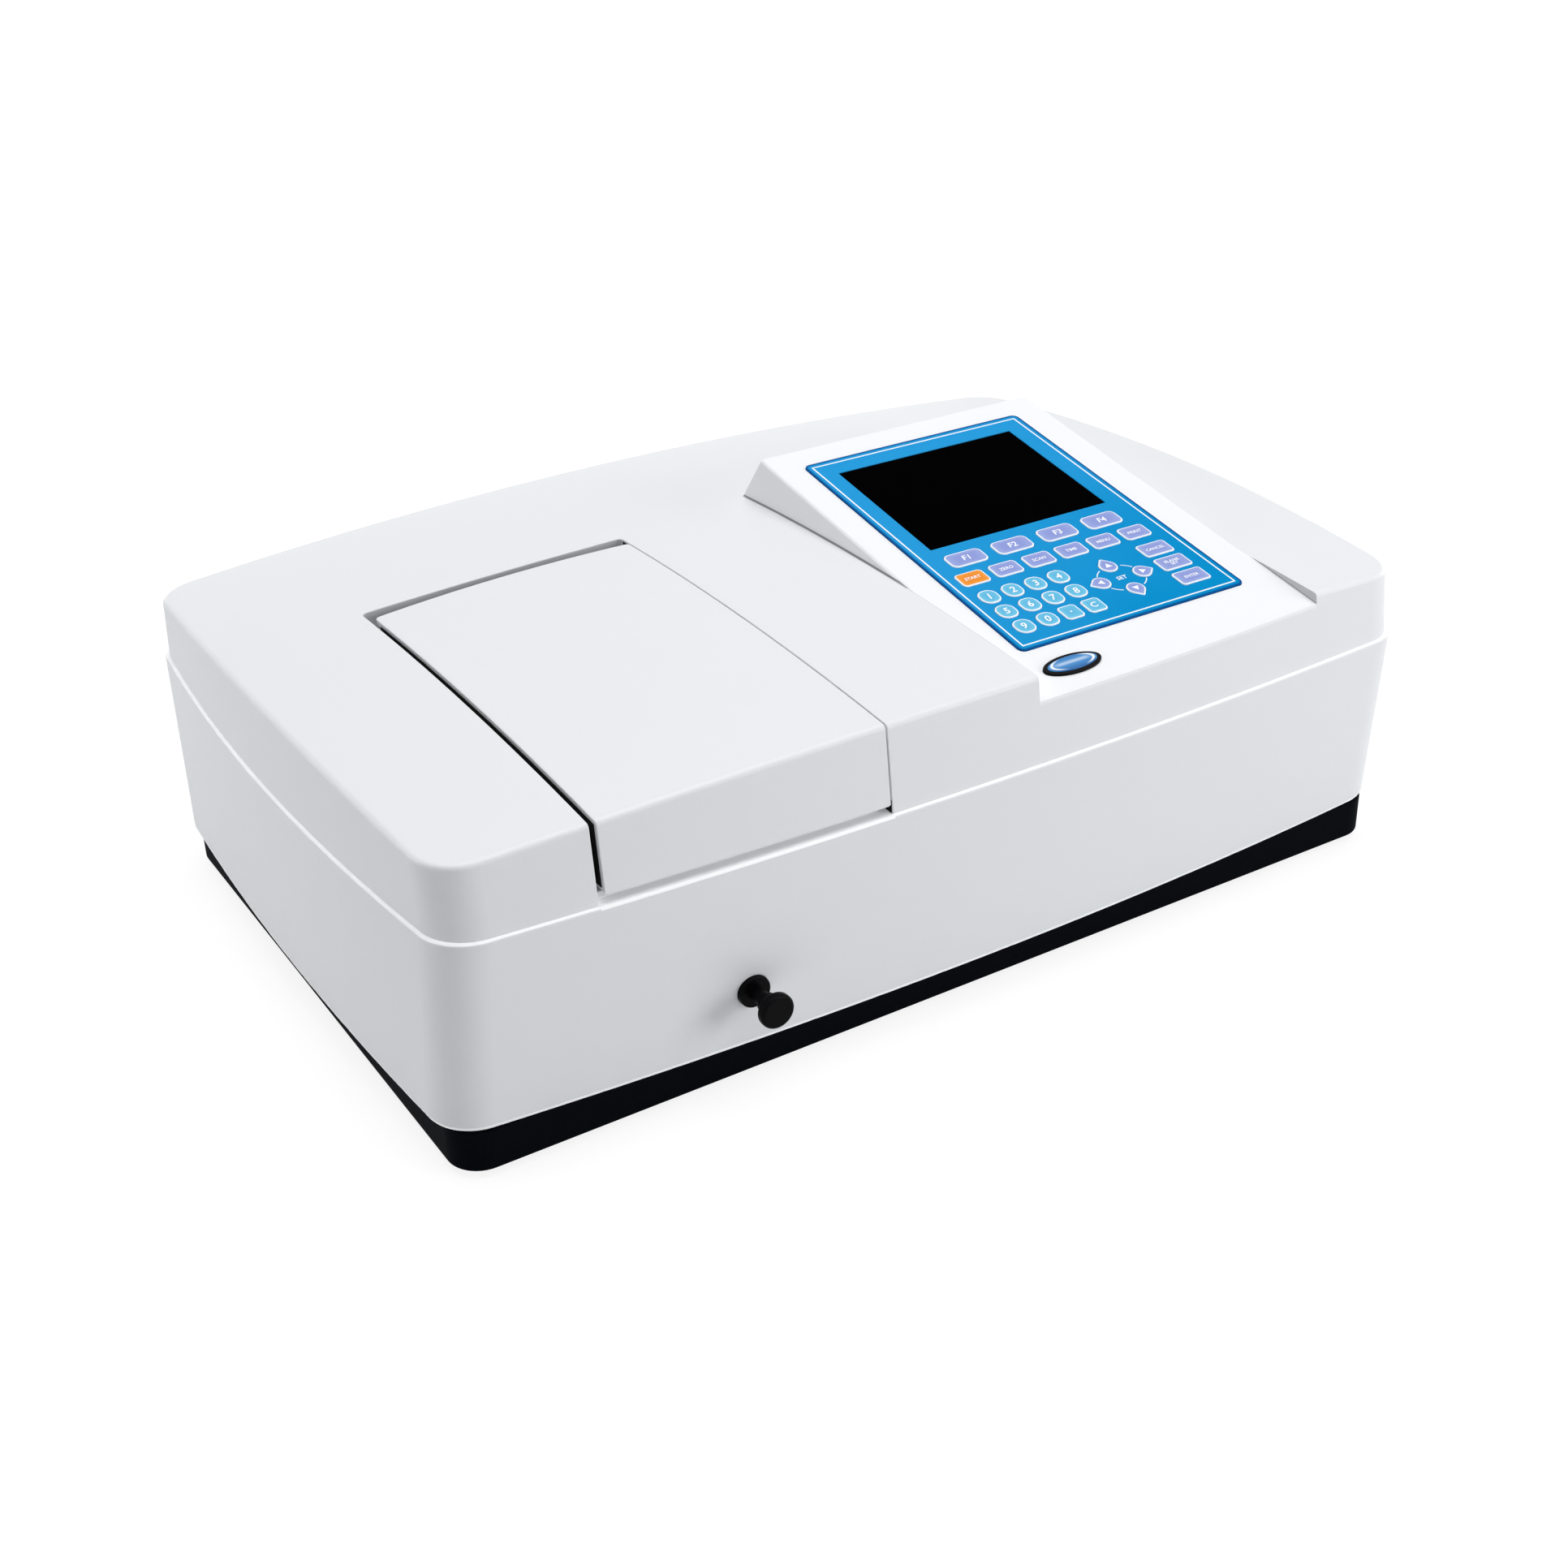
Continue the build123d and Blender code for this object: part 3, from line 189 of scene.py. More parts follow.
middle = (0.0, 0.0, 0.1)
soft_lamp("lamp_overhead", (0.1, 0.2, 2.4), middle, (2.6, 2.2), 53)
soft_lamp("lamp_high_front", (0, -1.5, 2.1), middle, (2.0, 1.4), 9.5)
soft_lamp("lamp_front", (1.6, -2.1, 0.7), middle, (1.4, 1.2), 29)
soft_lamp("lamp_left", (-2.2, 1.4, 0.7), middle, (1.4, 1.2), 15)
soft_lamp("lamp_low_left", (-2.6, 0, 0.7), middle, (1.4, 1.2), 4.5)
soft_lamp("lamp_back", (0.6, 2.2, 0.09), middle, (2.0, 0.16), 6)
soft_lamp("lamp_right", (2.3, 0.6, 0.09), middle, (1.6, 0.16), 10)

# Camera: stands in front of the left corner, a little above the lid, with a normal lens. The
# frame's origin lies in front of the middle of the case, by the shift in millimetres. The view's
# heading, dip and lean are in radians.
shift = 8.219
eye = Vector((-591.8, -975.8 + shift, 664.6)) * mm
heading = 0.548
dip = 0.500
lean = -0.028
focal_pixels = 2670.3
frame_pixels = 1932
sensor = 36.0
forward = Vector((math.sin(heading) * math.cos(dip), math.cos(heading) * math.cos(dip), -math.sin(dip)))
level_right = Vector((math.cos(heading), -math.sin(heading), 0))
level_up = level_right.cross(forward)
right = math.cos(lean) * level_right + math.sin(lean) * level_up
up = math.cos(lean) * level_up - math.sin(lean) * level_right
lens = bpy.data.cameras.new("camera")
lens.sensor_width = sensor
lens.lens = focal_pixels / frame_pixels * sensor
lens.clip_start = 50 * mm
camera = bpy.data.objects.new("camera", lens)
camera.matrix_world = Matrix.Translation(eye) @ Matrix((right, up, -forward)).transposed().to_4x4()
scene.collection.objects.link(camera)
scene.camera = camera

# Case: two drafted shells and a lid, injection moulded in white plastic with a fine spark-eroded
# grain. The face of the sloping console is whiter. Painted shade darkens a line at the console's
# foot and greys the step at its right and a thin line along its left front edge. A painted
# highlight, whiter and glowing a little, lies on the ledge between the shells and on the hem's edge.
case_white = (0.800, 0.812, 0.836, 1)
case_dull = (0.985 * 0.800, 0.985 * 0.812, 0.985 * 0.836, 1)
console_white = (0.880, 0.893, 0.918, 1)
# Painted highlight: a whiter colour and a faint glow for the ledge between the shells and the hem's edge.
painted_highlight_white = (0.950, 0.960, 0.975, 1)
painted_highlight_glow = (0.130, 0.130, 0.130, 1)
# Colour of the painted shade along the foot of the console and of its step.
painted_shade_dark = (0.300, 0.305, 0.315, 1)
# Grey of the painted shade on the step's wall and along the console's left front edge.
painted_shade_grey = (0.560, 0.565, 0.575, 1)
grain_scale = 1500.0
rim_level = 137.5
ledge_fade = (rim_level * mm - 0.7 * mm, rim_level * mm - 0.3 * mm)
ledge_top = rim_level * mm + 0.1 * mm
ledge_under_lid = 1.0 * mm
hem_edge = (29.8 * mm, 30.8 * mm)
opening_left = -222.0 * mm
opening_right = -61.3 * mm
console_left = 31.5 * mm
console_right = 228.5 * mm
console_start = ((shift - 203.0) * mm, 171.8 * mm)
console_slope = 0.185
console_back = 71.0 * mm
console_edge = (1.2 * mm, 2.4 * mm)
dome_radii = (3727.0, 2155.0)
dome_crown = 194.0
dome_middle = shift - 9.0
# Where the painted shade at the console's foot ends, its half width, and its reach from the foot.
foot_shade_back = 91.6 * mm
foot_shade_half = (0.6 * mm, 0.8 * mm)
foot_shade_reach = (0.5 * mm, 1.1 * mm)
under_face = (-0.8 * mm, -0.3 * mm)
crease_half = (0.25 * mm, 0.45 * mm)
crease_start = (-186 * mm, -160 * mm)
step_half = (0.3 * mm, 0.5 * mm)
step_foot = (0.0, 0.2 * mm)
step_top = (-0.5 * mm, -0.2 * mm)


def object_place(wire):
    """The object's X, Y and Z, in metres."""
    at = wire.node("TexCoord", {}, {}, "Object")
    split = wire.node("SeparateXYZ", {}, {"Vector": at})
    return at, [Wire(wire.tree, s) for s in split.socket.node.outputs]


def noise(at, scale, detail=2.0, roughness=0.5):
    """Soft random values about one half."""
    values = {"Vector": at, "Scale": scale, "Detail": detail, "Roughness": roughness}
    return at.node("TexNoise", {}, values)


def grain(at, scale, strength, depth):
    """Normal of a fine random grain."""
    height = noise(at, scale, 3.0, 0.6)
    return at.node("Bump", {}, {"Strength": strength, "Distance": depth, "Height": height})


def over_dome(x, y, z):
    """Height over the domed top: an arc across, of the first radius, swept along one of the second."""
    wide, long = dome_radii[0] * mm, dome_radii[1] * mm
    across = (wide**2 - x * x).root() + (long - wide)
    sweep = y - dome_middle * mm
    return z - ((across * across - sweep * sweep).root() + (dome_crown * mm - long))


def surface(wire, values):
    """The material's glossy shader, with what is set or linked on it."""
    shader = wire.node("BsdfPrincipled", {}, values)
    wire.node("OutputMaterial", {}, {"Surface": shader})


def dress(material, *names):
    """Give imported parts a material."""
    for name in names:
        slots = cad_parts[name].data.materials
        slots.clear()
        slots.append(material)


moulded_white, wire = new_material("moulded_white_plastic")
at, (x, y, z) = object_place(wire)
over_face = z - (console_start[1] + console_slope * (y - console_start[0]))
over_top = over_dome(x, y, z)
on_console = x.above(console_left) * (1 - x.above(console_right)) * (1 - y.above(console_back))
on_console = on_console * (1 - abs(over_face).above(*console_edge))
under_lid = x.above(opening_left) * (1 - x.above(opening_right)) * (1 - y.above(0.0))
# Painted highlight on the ledge between the shells, reaching a little lower under the lid, and on the hem's
# lower edge.
painted_highlight_mask = (z + under_lid * ledge_under_lid).above(*ledge_fade) * (1 - z.above(ledge_top))
painted_highlight_mask = painted_highlight_mask.most(1 - z.above(*hem_edge))
from_left = abs(x - console_left)
at_dome = 1 - abs(over_top).above(*foot_shade_reach)
by_face = over_face.above(*under_face)
# Painted shade along the crease at the console's left front edge.
crease_shade_mask = (1 - from_left.above(*crease_half)) * at_dome * by_face * y.above(*crease_start)
step = (1 - abs(x - console_right).above(*step_half)) * over_face.above(*step_foot)
step = step * (1 - over_top.above(*step_top))
# Painted shade: a dark line along the foot of the console's left side and the foot of the step at its right.
painted_foot_shade = (1 - from_left.above(*foot_shade_half)) * at_dome * (1 - by_face) * (1 - y.above(foot_shade_back))
painted_foot_shade = painted_foot_shade.most(step * (1 - over_face.above(*foot_shade_reach)))
base = colour_mix(noise(at, 9.0), case_dull, case_white)
base = colour_mix(painted_highlight_mask, base, painted_highlight_white)
base = colour_mix(on_console, base, console_white)
# Painted shade: grey on the wall of the step at the console's right and on the crease at its left.
base = colour_mix(step.most(crease_shade_mask), base, painted_shade_grey)
surface(wire, {
    "Base Color": colour_mix(painted_foot_shade, base, painted_shade_dark),
    # The painted highlight glows a little, though it is no lamp.
    "Emission Color": colour_mix(painted_highlight_mask, (0, 0, 0, 1), painted_highlight_glow),
    "Emission Strength": 1.0,
    "Roughness": 0.40 + noise(at, 420.0) * 0.10,
    "Normal": grain(at, grain_scale, 0.10, 0.10 * mm),
})
dress(moulded_white, "upper_cover", "lower_case", "sample_lid")

# Base tray and feet: a folded steel tray under a fine black texture paint, screwed to the case from
# below. It stands on four moulded rubber pads.
tray_black, wire = new_material("black_texture_paint")
at, _ = object_place(wire)
surface(wire, {
    "Base Color": colour_mix(noise(at, 700.0), (0.0024, 0.0028, 0.0044, 1), (0.0044, 0.0050, 0.0072, 1)),
    "Roughness": 0.50 + noise(at, 300.0) * 0.12,
    "Normal": grain(at, 1100.0, 0.35, 0.12 * mm),
    "Specular IOR Level": 0.006,
})
dress(tray_black, "base_tray")

rubber, wire = new_material("black_rubber")
at, _ = object_place(wire)
surface(wire, {
    "Base Color": colour_mix(noise(at, 260.0), (0.012, 0.012, 0.012, 1), (0.028, 0.027, 0.026, 1)),
    "Roughness": 0.80 + noise(at, 500.0) * 0.10,
    "Normal": grain(at, 2200.0, 0.3, 0.05 * mm),
})
dress(rubber, "rubber_feet")

# Keypad film: polyester sheet, printed from behind in blue with a white line inside a darker border,
# and with the four arcs between the arrow keys. It is glued to the console's face. Its blue is
# painted paler towards the upper left, as a painted sheen.
film_blue = (0.0012, 0.262, 0.585, 1)
# Paler blue of the painted sheen.
painted_sheen_blue = (0.021, 0.318, 0.690, 1)
film_border = (0.003, 0.085, 0.300, 1)
# White of the print, and of the painted highlights on the badge's lens.
print_and_highlight_white = (0.90, 0.94, 0.97, 1)
console_x = 130.0 * mm
tilt = math.atan(console_slope)
film_middle = (-2.3 * mm, 144.3 * mm)
film_half = (77.85 * mm, 106.9 * mm)
film_corner = 4.0 * mm
line_inset = 4.0 * mm
line_width = 1.0 * mm
line_blur = 0.06 * mm
border_edge = (0.3 * mm, 2.4 * mm)
sheen_tilt = (-2.6, 3.2)
sheen_fade = (0.15, 0.95)
arrow_middle = (15.5 * mm, 71.9 * mm)
arrow_reach = (14.5 * mm, 12.3 * mm)
arc_half = (0.018, 0.030)
arc_spread = (0.34, 0.38)


def console_place(wire):
    """Distances across and up the console's face from the middle of its front edge."""
    at, (x, y, z) = object_place(wire)
    across = x - console_x
    along = (y - console_start[0]) * math.cos(tilt) + (z - console_start[1]) * math.sin(tilt)
    return at, across, along


def inside_sheet(across, along, middle, half, corner):
    """Distance into a sheet with round corners from its nearest edge."""
    over_x = abs(across - middle[0]) - (half[0] - corner)
    over_y = abs(along - middle[1]) - (half[1] - corner)
    out_x, out_y = over_x.most(0.0), over_y.most(0.0)
    return corner - ((out_x * out_x + out_y * out_y).root() + over_x.most(over_y).least(0.0))


printed_film, wire = new_material("printed_blue_film")
at, across, along = console_place(wire)
inset = inside_sheet(across, along, film_middle, film_half, film_corner)
line = 1 - abs(inset - line_inset).above(line_width / 2 - line_blur, line_width / 2 + line_blur)
border = 1 - inset.above(*border_edge)
# Painted sheen: the blue turns paler towards the upper left, in soft random patches.
painted_sheen = (along * sheen_tilt[1] + across * sheen_tilt[0] + noise(at, 14.0) * 0.5).above(*sheen_fade)
reach_x = (across - arrow_middle[0]) / arrow_reach[0]
reach_y = (along - arrow_middle[1]) / arrow_reach[1]
ring = 1 - abs((reach_x * reach_x + reach_y * reach_y).root() - 1).above(*arc_half)
diagonal = 1 - abs(abs(reach_x) - abs(reach_y)).above(*arc_spread)
printed = line.most(ring * diagonal)
blue = colour_mix(painted_sheen, film_blue, painted_sheen_blue)
blue = colour_mix(border, blue, film_border)
surface(wire, {
    "Base Color": colour_mix(printed, blue, print_and_highlight_white),
    "Roughness": 0.30 + noise(at, 600.0) * 0.06,
    "Normal": grain(at, 2600.0, 0.12, 0.04 * mm),
    "Specular IOR Level": 0.006,
})
dress(printed_film, "keypad_overlay")

# Display: liquid crystal module, off, in the film's window. It sits behind dark glass whose coat
# takes nearly all reflections away.
dark_glass, wire = new_material("dark_display_glass")
at, _ = object_place(wire)
surface(wire, {
    "Base Color": colour_mix(noise(at, 40.0), (0.0001, 0.0001, 0.0002, 1), (0.0003, 0.0003, 0.0004, 1)),
    "Roughness": 0.10 + noise(at, 200.0) * 0.03,
    "Specular IOR Level": 0.001,
})
dress(dark_glass, "display_module")

# Keys: domed caps of silicone under printed film, each with a white line round its edge and a
# white sign. A cap is an outline carried over a low dome: point = centre + (radius - inset) out.
key_top = 1.40
key_crown = 0.10
key_seat = -1.80
cap_edge = [(0, key_seat), (0, 0.86), (0.05, 1.02), (0.16, 1.14), (0.32, 1.22), (0.55, 1.27), (0.85, 1.30)]
cap_field = [0.9, 0.75, 0.5, 0.25]
cap_steps = 9
middle_inset = 4.0
key_line = (0.83, 1.01)
key_field = (1.0, 2.6)
violet = (0.330, 0.395, 0.730, 1)
violet_deep = (0.270, 0.330, 0.690, 1)
cyan = (0.170, 0.560, 0.790, 1)
cyan_deep = (0.130, 0.490, 0.740, 1)
orange = (0.900, 0.330, 0.045, 1)
orange_deep = (0.850, 0.270, 0.030, 1)
key_white = (0.88, 0.93, 0.98, 1)


def on_face(across, along, height):
    """Points of the frame for arrays of places on the console's face, all in millimetres."""
    across, along, height = np.broadcast_arrays(across, along, height)
    x = console_x + across * mm
    y = console_start[0] + (along * math.cos(tilt) - height * math.sin(tilt)) * mm
    z = console_start[1] + (along * math.sin(tilt) + height * math.cos(tilt)) * mm
    return np.stack([x, y, z], axis=-1)


def new_piece(name, points, faces, material, body, smooth=True):
    """Closed mesh object from arrays, its faces turned outward, riding on a body."""
    mesh = bpy.data.meshes.new(name)
    mesh.from_pydata(points.reshape(-1, 3).tolist(), [], faces)
    shell = bmesh.new()
    shell.from_mesh(mesh)
    bmesh.ops.recalc_face_normals(shell, faces=shell.faces)
    shell.to_mesh(mesh)
    shell.free()
    mesh.materials.append(material)
    mesh.polygons.foreach_set("use_smooth", [smooth] * len(mesh.polygons))
    piece = bpy.data.objects.new(name, mesh)
    scene.collection.objects.link(piece)
    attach(piece, body)
    return piece


def tube_faces(rows, columns):
    """Quads between neighbouring rows of a closed ring of columns."""
    row, column = np.meshgrid(np.arange(rows - 1), np.arange(columns), indexing="ij")
    after = (column + 1) % columns
    quads = [row * columns + column, row * columns + after,
             (row + 1) * columns + after, (row + 1) * columns + column]
    return np.stack(quads, axis=-1).reshape(-1, 4).tolist()


def round_box(size, corner):
    """Outline of a rectangle with round corners: corner centres and radii by direction."""
    quarter = np.linspace(0, math.pi / 2, cap_steps)
    turn = np.concatenate([quarter + i * math.pi / 2 for i in range(4)])
    sides = np.repeat([(1, 1), (-1, 1), (-1, -1), (1, -1)], cap_steps, axis=0)
    centres = sides * (np.array(size) / 2 - corner)
    return turn, centres, np.full(len(turn), corner)


def drop_shape(radius, tip, tip_radius, toward):
    """Outline round a disc and a smaller disc at its tip, which points in a direction."""
    far = tip - tip_radius
    split = math.acos((radius - tip_radius) / far)
    near_tip = np.linspace(-split, split, cap_steps)
    round_disc = np.linspace(split, 2 * math.pi - split, 3 * cap_steps)
    turn = np.concatenate([near_tip, round_disc]) + toward
    on_tip = np.arange(len(turn)) < cap_steps
    middle = np.array([math.cos(toward), math.sin(toward)]) * far
    centres = np.where(on_tip[:, None], middle, 0.0)
    return turn, centres, np.where(on_tip, tip_radius, radius)


def key_cap(name, place, outline, material, slot):
    """A cap: rows run in from the outline over a rounded edge, then shrink to the middle."""
    turn, centres, radii = outline
    edge, shrink = np.array(cap_edge), np.array(cap_field)
    out = np.stack([np.cos(turn), np.sin(turn)], axis=-1)
    room = np.minimum(edge[:, 0, None], radii * 0.98)
    rim = centres + out * (radii - room)[..., None]
    field = rim[-1] * shrink[:, None, None]
    rows = np.concatenate([rim, field])
    heights = np.concatenate([edge[:, 1], key_top - key_crown * shrink**2])
    flat = rows + np.array(place)
    points = on_face(flat[..., 0], flat[..., 1], heights[:, None])
    count = len(turn)
    pole = on_face(place[0], place[1], key_top)
    foot = on_face(place[0], place[1], key_seat)
    total = len(rows) * count
    ring = np.arange(count)
    after = (ring + 1) % count
    last = total - count
    faces = tube_faces(len(rows), count)
    faces += np.stack([last + ring, last + after, np.full(count, total)], axis=-1).tolist()
    faces += np.stack([after, ring, np.full(count, total + 1)], axis=-1).tolist()
    points = np.concatenate([points.reshape(-1, 3), pole.reshape(1, 3), foot.reshape(1, 3)])
    cap = new_piece(name + "_cap", points, faces, material, name)
    field_inset = middle_inset - (middle_inset - 1) * shrink
    insets = [np.repeat(edge[:, 0], count), np.repeat(field_inset, count), [middle_inset, 0]]
    inset = np.concatenate(insets)
    cap.data.attributes.new("inset", "FLOAT", "POINT").data.foreach_set("value", inset)
    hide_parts(name)


def key_film(name, colour, deep):
    """Printed film over a key: white at its edge, paler towards the middle of its field."""
    made, wire = new_material(name)
    at, _ = object_place(wire)
    inset = wire.node("Attribute", {"attribute_name": "inset"}, {}, "Fac")
    white = 1 - inset.above(*key_line)
    field = inset.above(*key_field)
    body = colour_mix(field, colour, deep)
    surface(wire, {
        "Base Color": colour_mix(white, body, key_white),
        "Roughness": 0.32 + noise(at, 500.0) * 0.08,
        "Normal": grain(at, 2600.0, 0.12, 0.04 * mm),
        "Specular IOR Level": 0.05,
    })
    return made


violet_key = (key_film("violet_key_film", violet, violet_deep), "key_violet")
cyan_key = (key_film("cyan_key_film", cyan, cyan_deep), "key_cyan")
orange_key = (key_film("orange_key_film", orange, orange_deep), "key_orange")

soft_level, soft_pitch = 125.9, 32.1
mode_level, mode_pitch = 107.1, 22.9
row_middle = -4.1
block_middle, block_pitch = 71.9, 15.8
side_column, digit_column = 52.4, -64.2
soft_outline = round_box((25.0, 13.3), 4.0)
mode_outline = round_box((18.6, 12.6), 2.8)
side_outline = round_box((20.6, 12.6), 2.2)
round_outline = round_box((12.2, 12.6), 5.2)
square_outline = round_box((12.2, 12.6), 2.8)
arrow_radius, arrow_tip, arrow_tip_radius = 5.6, 7.6, 1.0
key_places = {}
for i in range(4):
    name = f"soft_key_{i + 1}"
    key_places[name] = (row_middle + (i - 1.5) * soft_pitch, soft_level)
    key_cap(name, key_places[name], soft_outline, *violet_key)
for i in range(6):
    name = f"mode_key_{i}" if i else "start_key"
    key_places[name] = (row_middle + (i - 2.5) * mode_pitch, mode_level)
    key_cap(name, key_places[name], mode_outline, *(violet_key if i else orange_key))
for i in range(3):
    name = f"side_key_{i + 1}"
    key_places[name] = (side_column, block_middle + (1 - i) * block_pitch)
    key_cap(name, key_places[name], side_outline, *violet_key)
digit_order = [1, 2, 3, 4, 5, 6, 7, 8, 9, 0]
for i, name in enumerate([f"digit_key_{n}" for n in digit_order] + ["point_key", "clear_key"]):
    key_places[name] = (digit_column + i % 4 * block_pitch, block_middle + (1 - i // 4) * block_pitch)
    key_cap(name, key_places[name], round_outline if i < 10 else square_outline, *cyan_key)
arrow_keys = ["arrow_right_key", "arrow_up_key", "arrow_left_key", "arrow_down_key"]
for i, name in enumerate(arrow_keys):
    turn = i * math.pi / 2
    key_places[name] = (
        (arrow_middle[0] + arrow_reach[0] * math.cos(turn)) / mm,
        (arrow_middle[1] + arrow_reach[1] * math.sin(turn)) / mm,
    )
    drop = drop_shape(arrow_radius, arrow_tip, arrow_tip_radius, turn)
    key_cap(name, key_places[name], drop, *violet_key)

# Signs: printed a hair above each cap, and a small word between the arrow keys. All are plain
# digits, arrows or words that any such keypad has.
sign_height = 1.405
sign_thickness = 0.03
stroke_gain = 0.018
sign_lean = 0.15
word_height = 0.815
arrow_size = 2.6
sign_ink, wire = new_material("white_ink")
at, _ = object_place(wire)
surface(wire, {
    "Base Color": colour_mix(noise(at, 900.0), (0.86, 0.89, 0.94, 1), (0.93, 0.95, 0.98, 1)),
    "Roughness": 0.42 + noise(at, 500.0) * 0.05,
})


def printed_sign(name, words, size, put, body, lean=sign_lean):
    """Letters as a thin closed solid. put turns distances across, along and above into points."""
    text = bpy.data.curves.new(name, "FONT")
    text.body = words
    text.size = size
    text.align_x = "CENTER"
    text.align_y = "CENTER"
    text.shear = lean
    text.space_line = 0.8
    text.resolution_u = 4
    text.offset = size * stroke_gain
    text.extrude = sign_thickness / 2
    shape = bpy.data.objects.new(name, text)
    mesh = bpy.data.meshes.new_from_object(shape)
    bpy.data.objects.remove(shape)
    flat = np.zeros(len(mesh.vertices) * 3)
    mesh.vertices.foreach_get("co", flat)
    flat = flat.reshape(-1, 3)
    middle = (flat.max(axis=0) + flat.min(axis=0)) / 2
    flat = flat - middle
    mesh.vertices.foreach_set("co", put(*flat.T).ravel())
    mesh.materials.clear()
    mesh.materials.append(sign_ink)
    piece = bpy.data.objects.new(name, mesh)
    scene.collection.objects.link(piece)
    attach(piece, body)
    return piece


signs = {f"soft_key_{i}": (f"F{i}", 6.4) for i in range(1, 5)}
signs |= {f"digit_key_{i}": (str(i), 7.2) for i in range(10)}
signs |= {"point_key": (".", 8.0), "clear_key": ("C", 6.4), "start_key": ("START", 3.6)}
for i, word in enumerate(["ZERO", "SCAN", "TIME", "MENU", "PRINT"]):
    signs[f"mode_key_{i + 1}"] = (word, 3.6)
for i, word in enumerate(["CANCEL", "BLANK\nSET", "ENTER"]):
    signs[f"side_key_{i + 1}"] = (word, 3.4)


def put_on_console(place, height):
    """Where a sign goes that is centred on a place of the console's face."""
    return lambda across, along, above: on_face(across + place[0], along + place[1], above + height)


for name, (words, size) in signs.items():
    printed_sign(name + "_sign", words, size, put_on_console(key_places[name], sign_height), name)
word_place = [v / mm for v in arrow_middle]
printed_sign("arrow_word", "SET", 4.4, put_on_console(word_place, word_height), "case")

for i, name in enumerate(arrow_keys):
    turn = i * math.pi / 2 + np.array([0, 2, 4]) * math.pi / 3
    flat = np.stack([np.cos(turn), np.sin(turn)], axis=-1) * arrow_size + np.array(key_places[name])
    layers = np.array([-1, 1]) * sign_thickness / 2 + sign_height
    points = on_face(flat[None, :, 0], flat[None, :, 1], layers[:, None])
    new_piece(name + "_sign", points, tube_faces(2, 3) + [[2, 1, 0], [3, 4, 5]], sign_ink, name, False)

# Badge: black rim with a clear domed lens over a blue ground, with painted highlights on it: a pale
# crescent at each end and a soft band along its middle.
badge_middle = (-62.5 * mm, 16.8 * mm)
badge_lens = (15.9 * mm, 5.85 * mm)
crescent_reach = 0.84
crescent_half = (0.03, 0.08)
crescent_ends = (0.30, 0.75)
band_level = 0.08
band_half = (0.02, 0.34)
band_ends = (0.45, 0.85)
band_strength = 0.45
gloss_black, wire = new_material("gloss_black_plastic")
at, _ = object_place(wire)
surface(wire, {
    "Base Color": colour_mix(noise(at, 300.0), (0.0012, 0.0012, 0.0015, 1), (0.0030, 0.0030, 0.0035, 1)),
    "Roughness": 0.20 + noise(at, 400.0) * 0.05,
    "Specular IOR Level": 0.05,
})
dress(gloss_black, "badge_rim", "rocker_switch")

badge_resin, wire = new_material("blue_badge_resin")
at, across, along = console_place(wire)
part_x = (across - badge_middle[0]) / badge_lens[0]
part_y = (along - badge_middle[1]) / badge_lens[1]
reach = (part_x * part_x + part_y * part_y).root()
# Painted highlights: a pale crescent near each end of the lens and a soft band along its middle.
crescent_highlight = (1 - abs(reach - crescent_reach).above(*crescent_half)) * abs(part_x).above(*crescent_ends)
band_highlight = (1 - abs(part_y - band_level).above(*band_half)) * (1 - abs(part_x).above(*band_ends)) * band_strength
rise = (abs(part_y - 0.1) + noise(at, 120.0) * 0.1).above(0.1, 1.1)
ground = colour_mix(rise, (0.070, 0.300, 0.650, 1), (0.020, 0.145, 0.430, 1))
surface(wire, {
    "Base Color": colour_mix(crescent_highlight.most(band_highlight), ground, print_and_highlight_white),
    "Roughness": 0.06 + noise(at, 200.0) * 0.02,
    "Specular IOR Level": 0.10,
    "Coat Weight": 0.15,
})
dress(badge_resin, "badge_lens")

# Pull rod: steel under black lacquer, with a dished moulded knob. It runs through a moulded collar in
# the case's front and moves the carriage.
lacquer, wire = new_material("black_lacquer")
at, _ = object_place(wire)
surface(wire, {
    "Base Color": colour_mix(noise(at, 500.0), (0.0010, 0.0010, 0.0013, 1), (0.0030, 0.0030, 0.0040, 1)),
    "Roughness": 0.30 + noise(at, 700.0) * 0.08,
    "Normal": grain(at, 1800.0, 0.12, 0.04 * mm),
    "Specular IOR Level": 0.04,
})
dress(lacquer, "pull_rod", "rod_collar", "rod_knob")

# Compartment: matt black moulded tub, so that no light strays, and a carriage of black anodised
# aluminium with a number beside each of its four cells.
matt_black, wire = new_material("matt_black_plastic")
at, _ = object_place(wire)
surface(wire, {
    "Base Color": colour_mix(noise(at, 400.0), (0.010, 0.010, 0.011, 1), (0.022, 0.022, 0.023, 1)),
    "Roughness": 0.78 + noise(at, 300.0) * 0.12,
    "Normal": grain(at, 1300.0, 0.25, 0.08 * mm),
})
dress(matt_black, "chamber_tub", "fan_frame", "fan_rotor", "detector_box")

anodised, wire = new_material("black_anodised_aluminium")
at, _ = object_place(wire)
surface(wire, {
    "Base Color": colour_mix(noise(at, 800.0), (0.020, 0.020, 0.024, 1), (0.040, 0.040, 0.046, 1)),
    "Roughness": 0.42 + noise(at, 1200.0) * 0.12,
    "Metallic": 0.6,
})
dress(anodised, "cell_carriage")

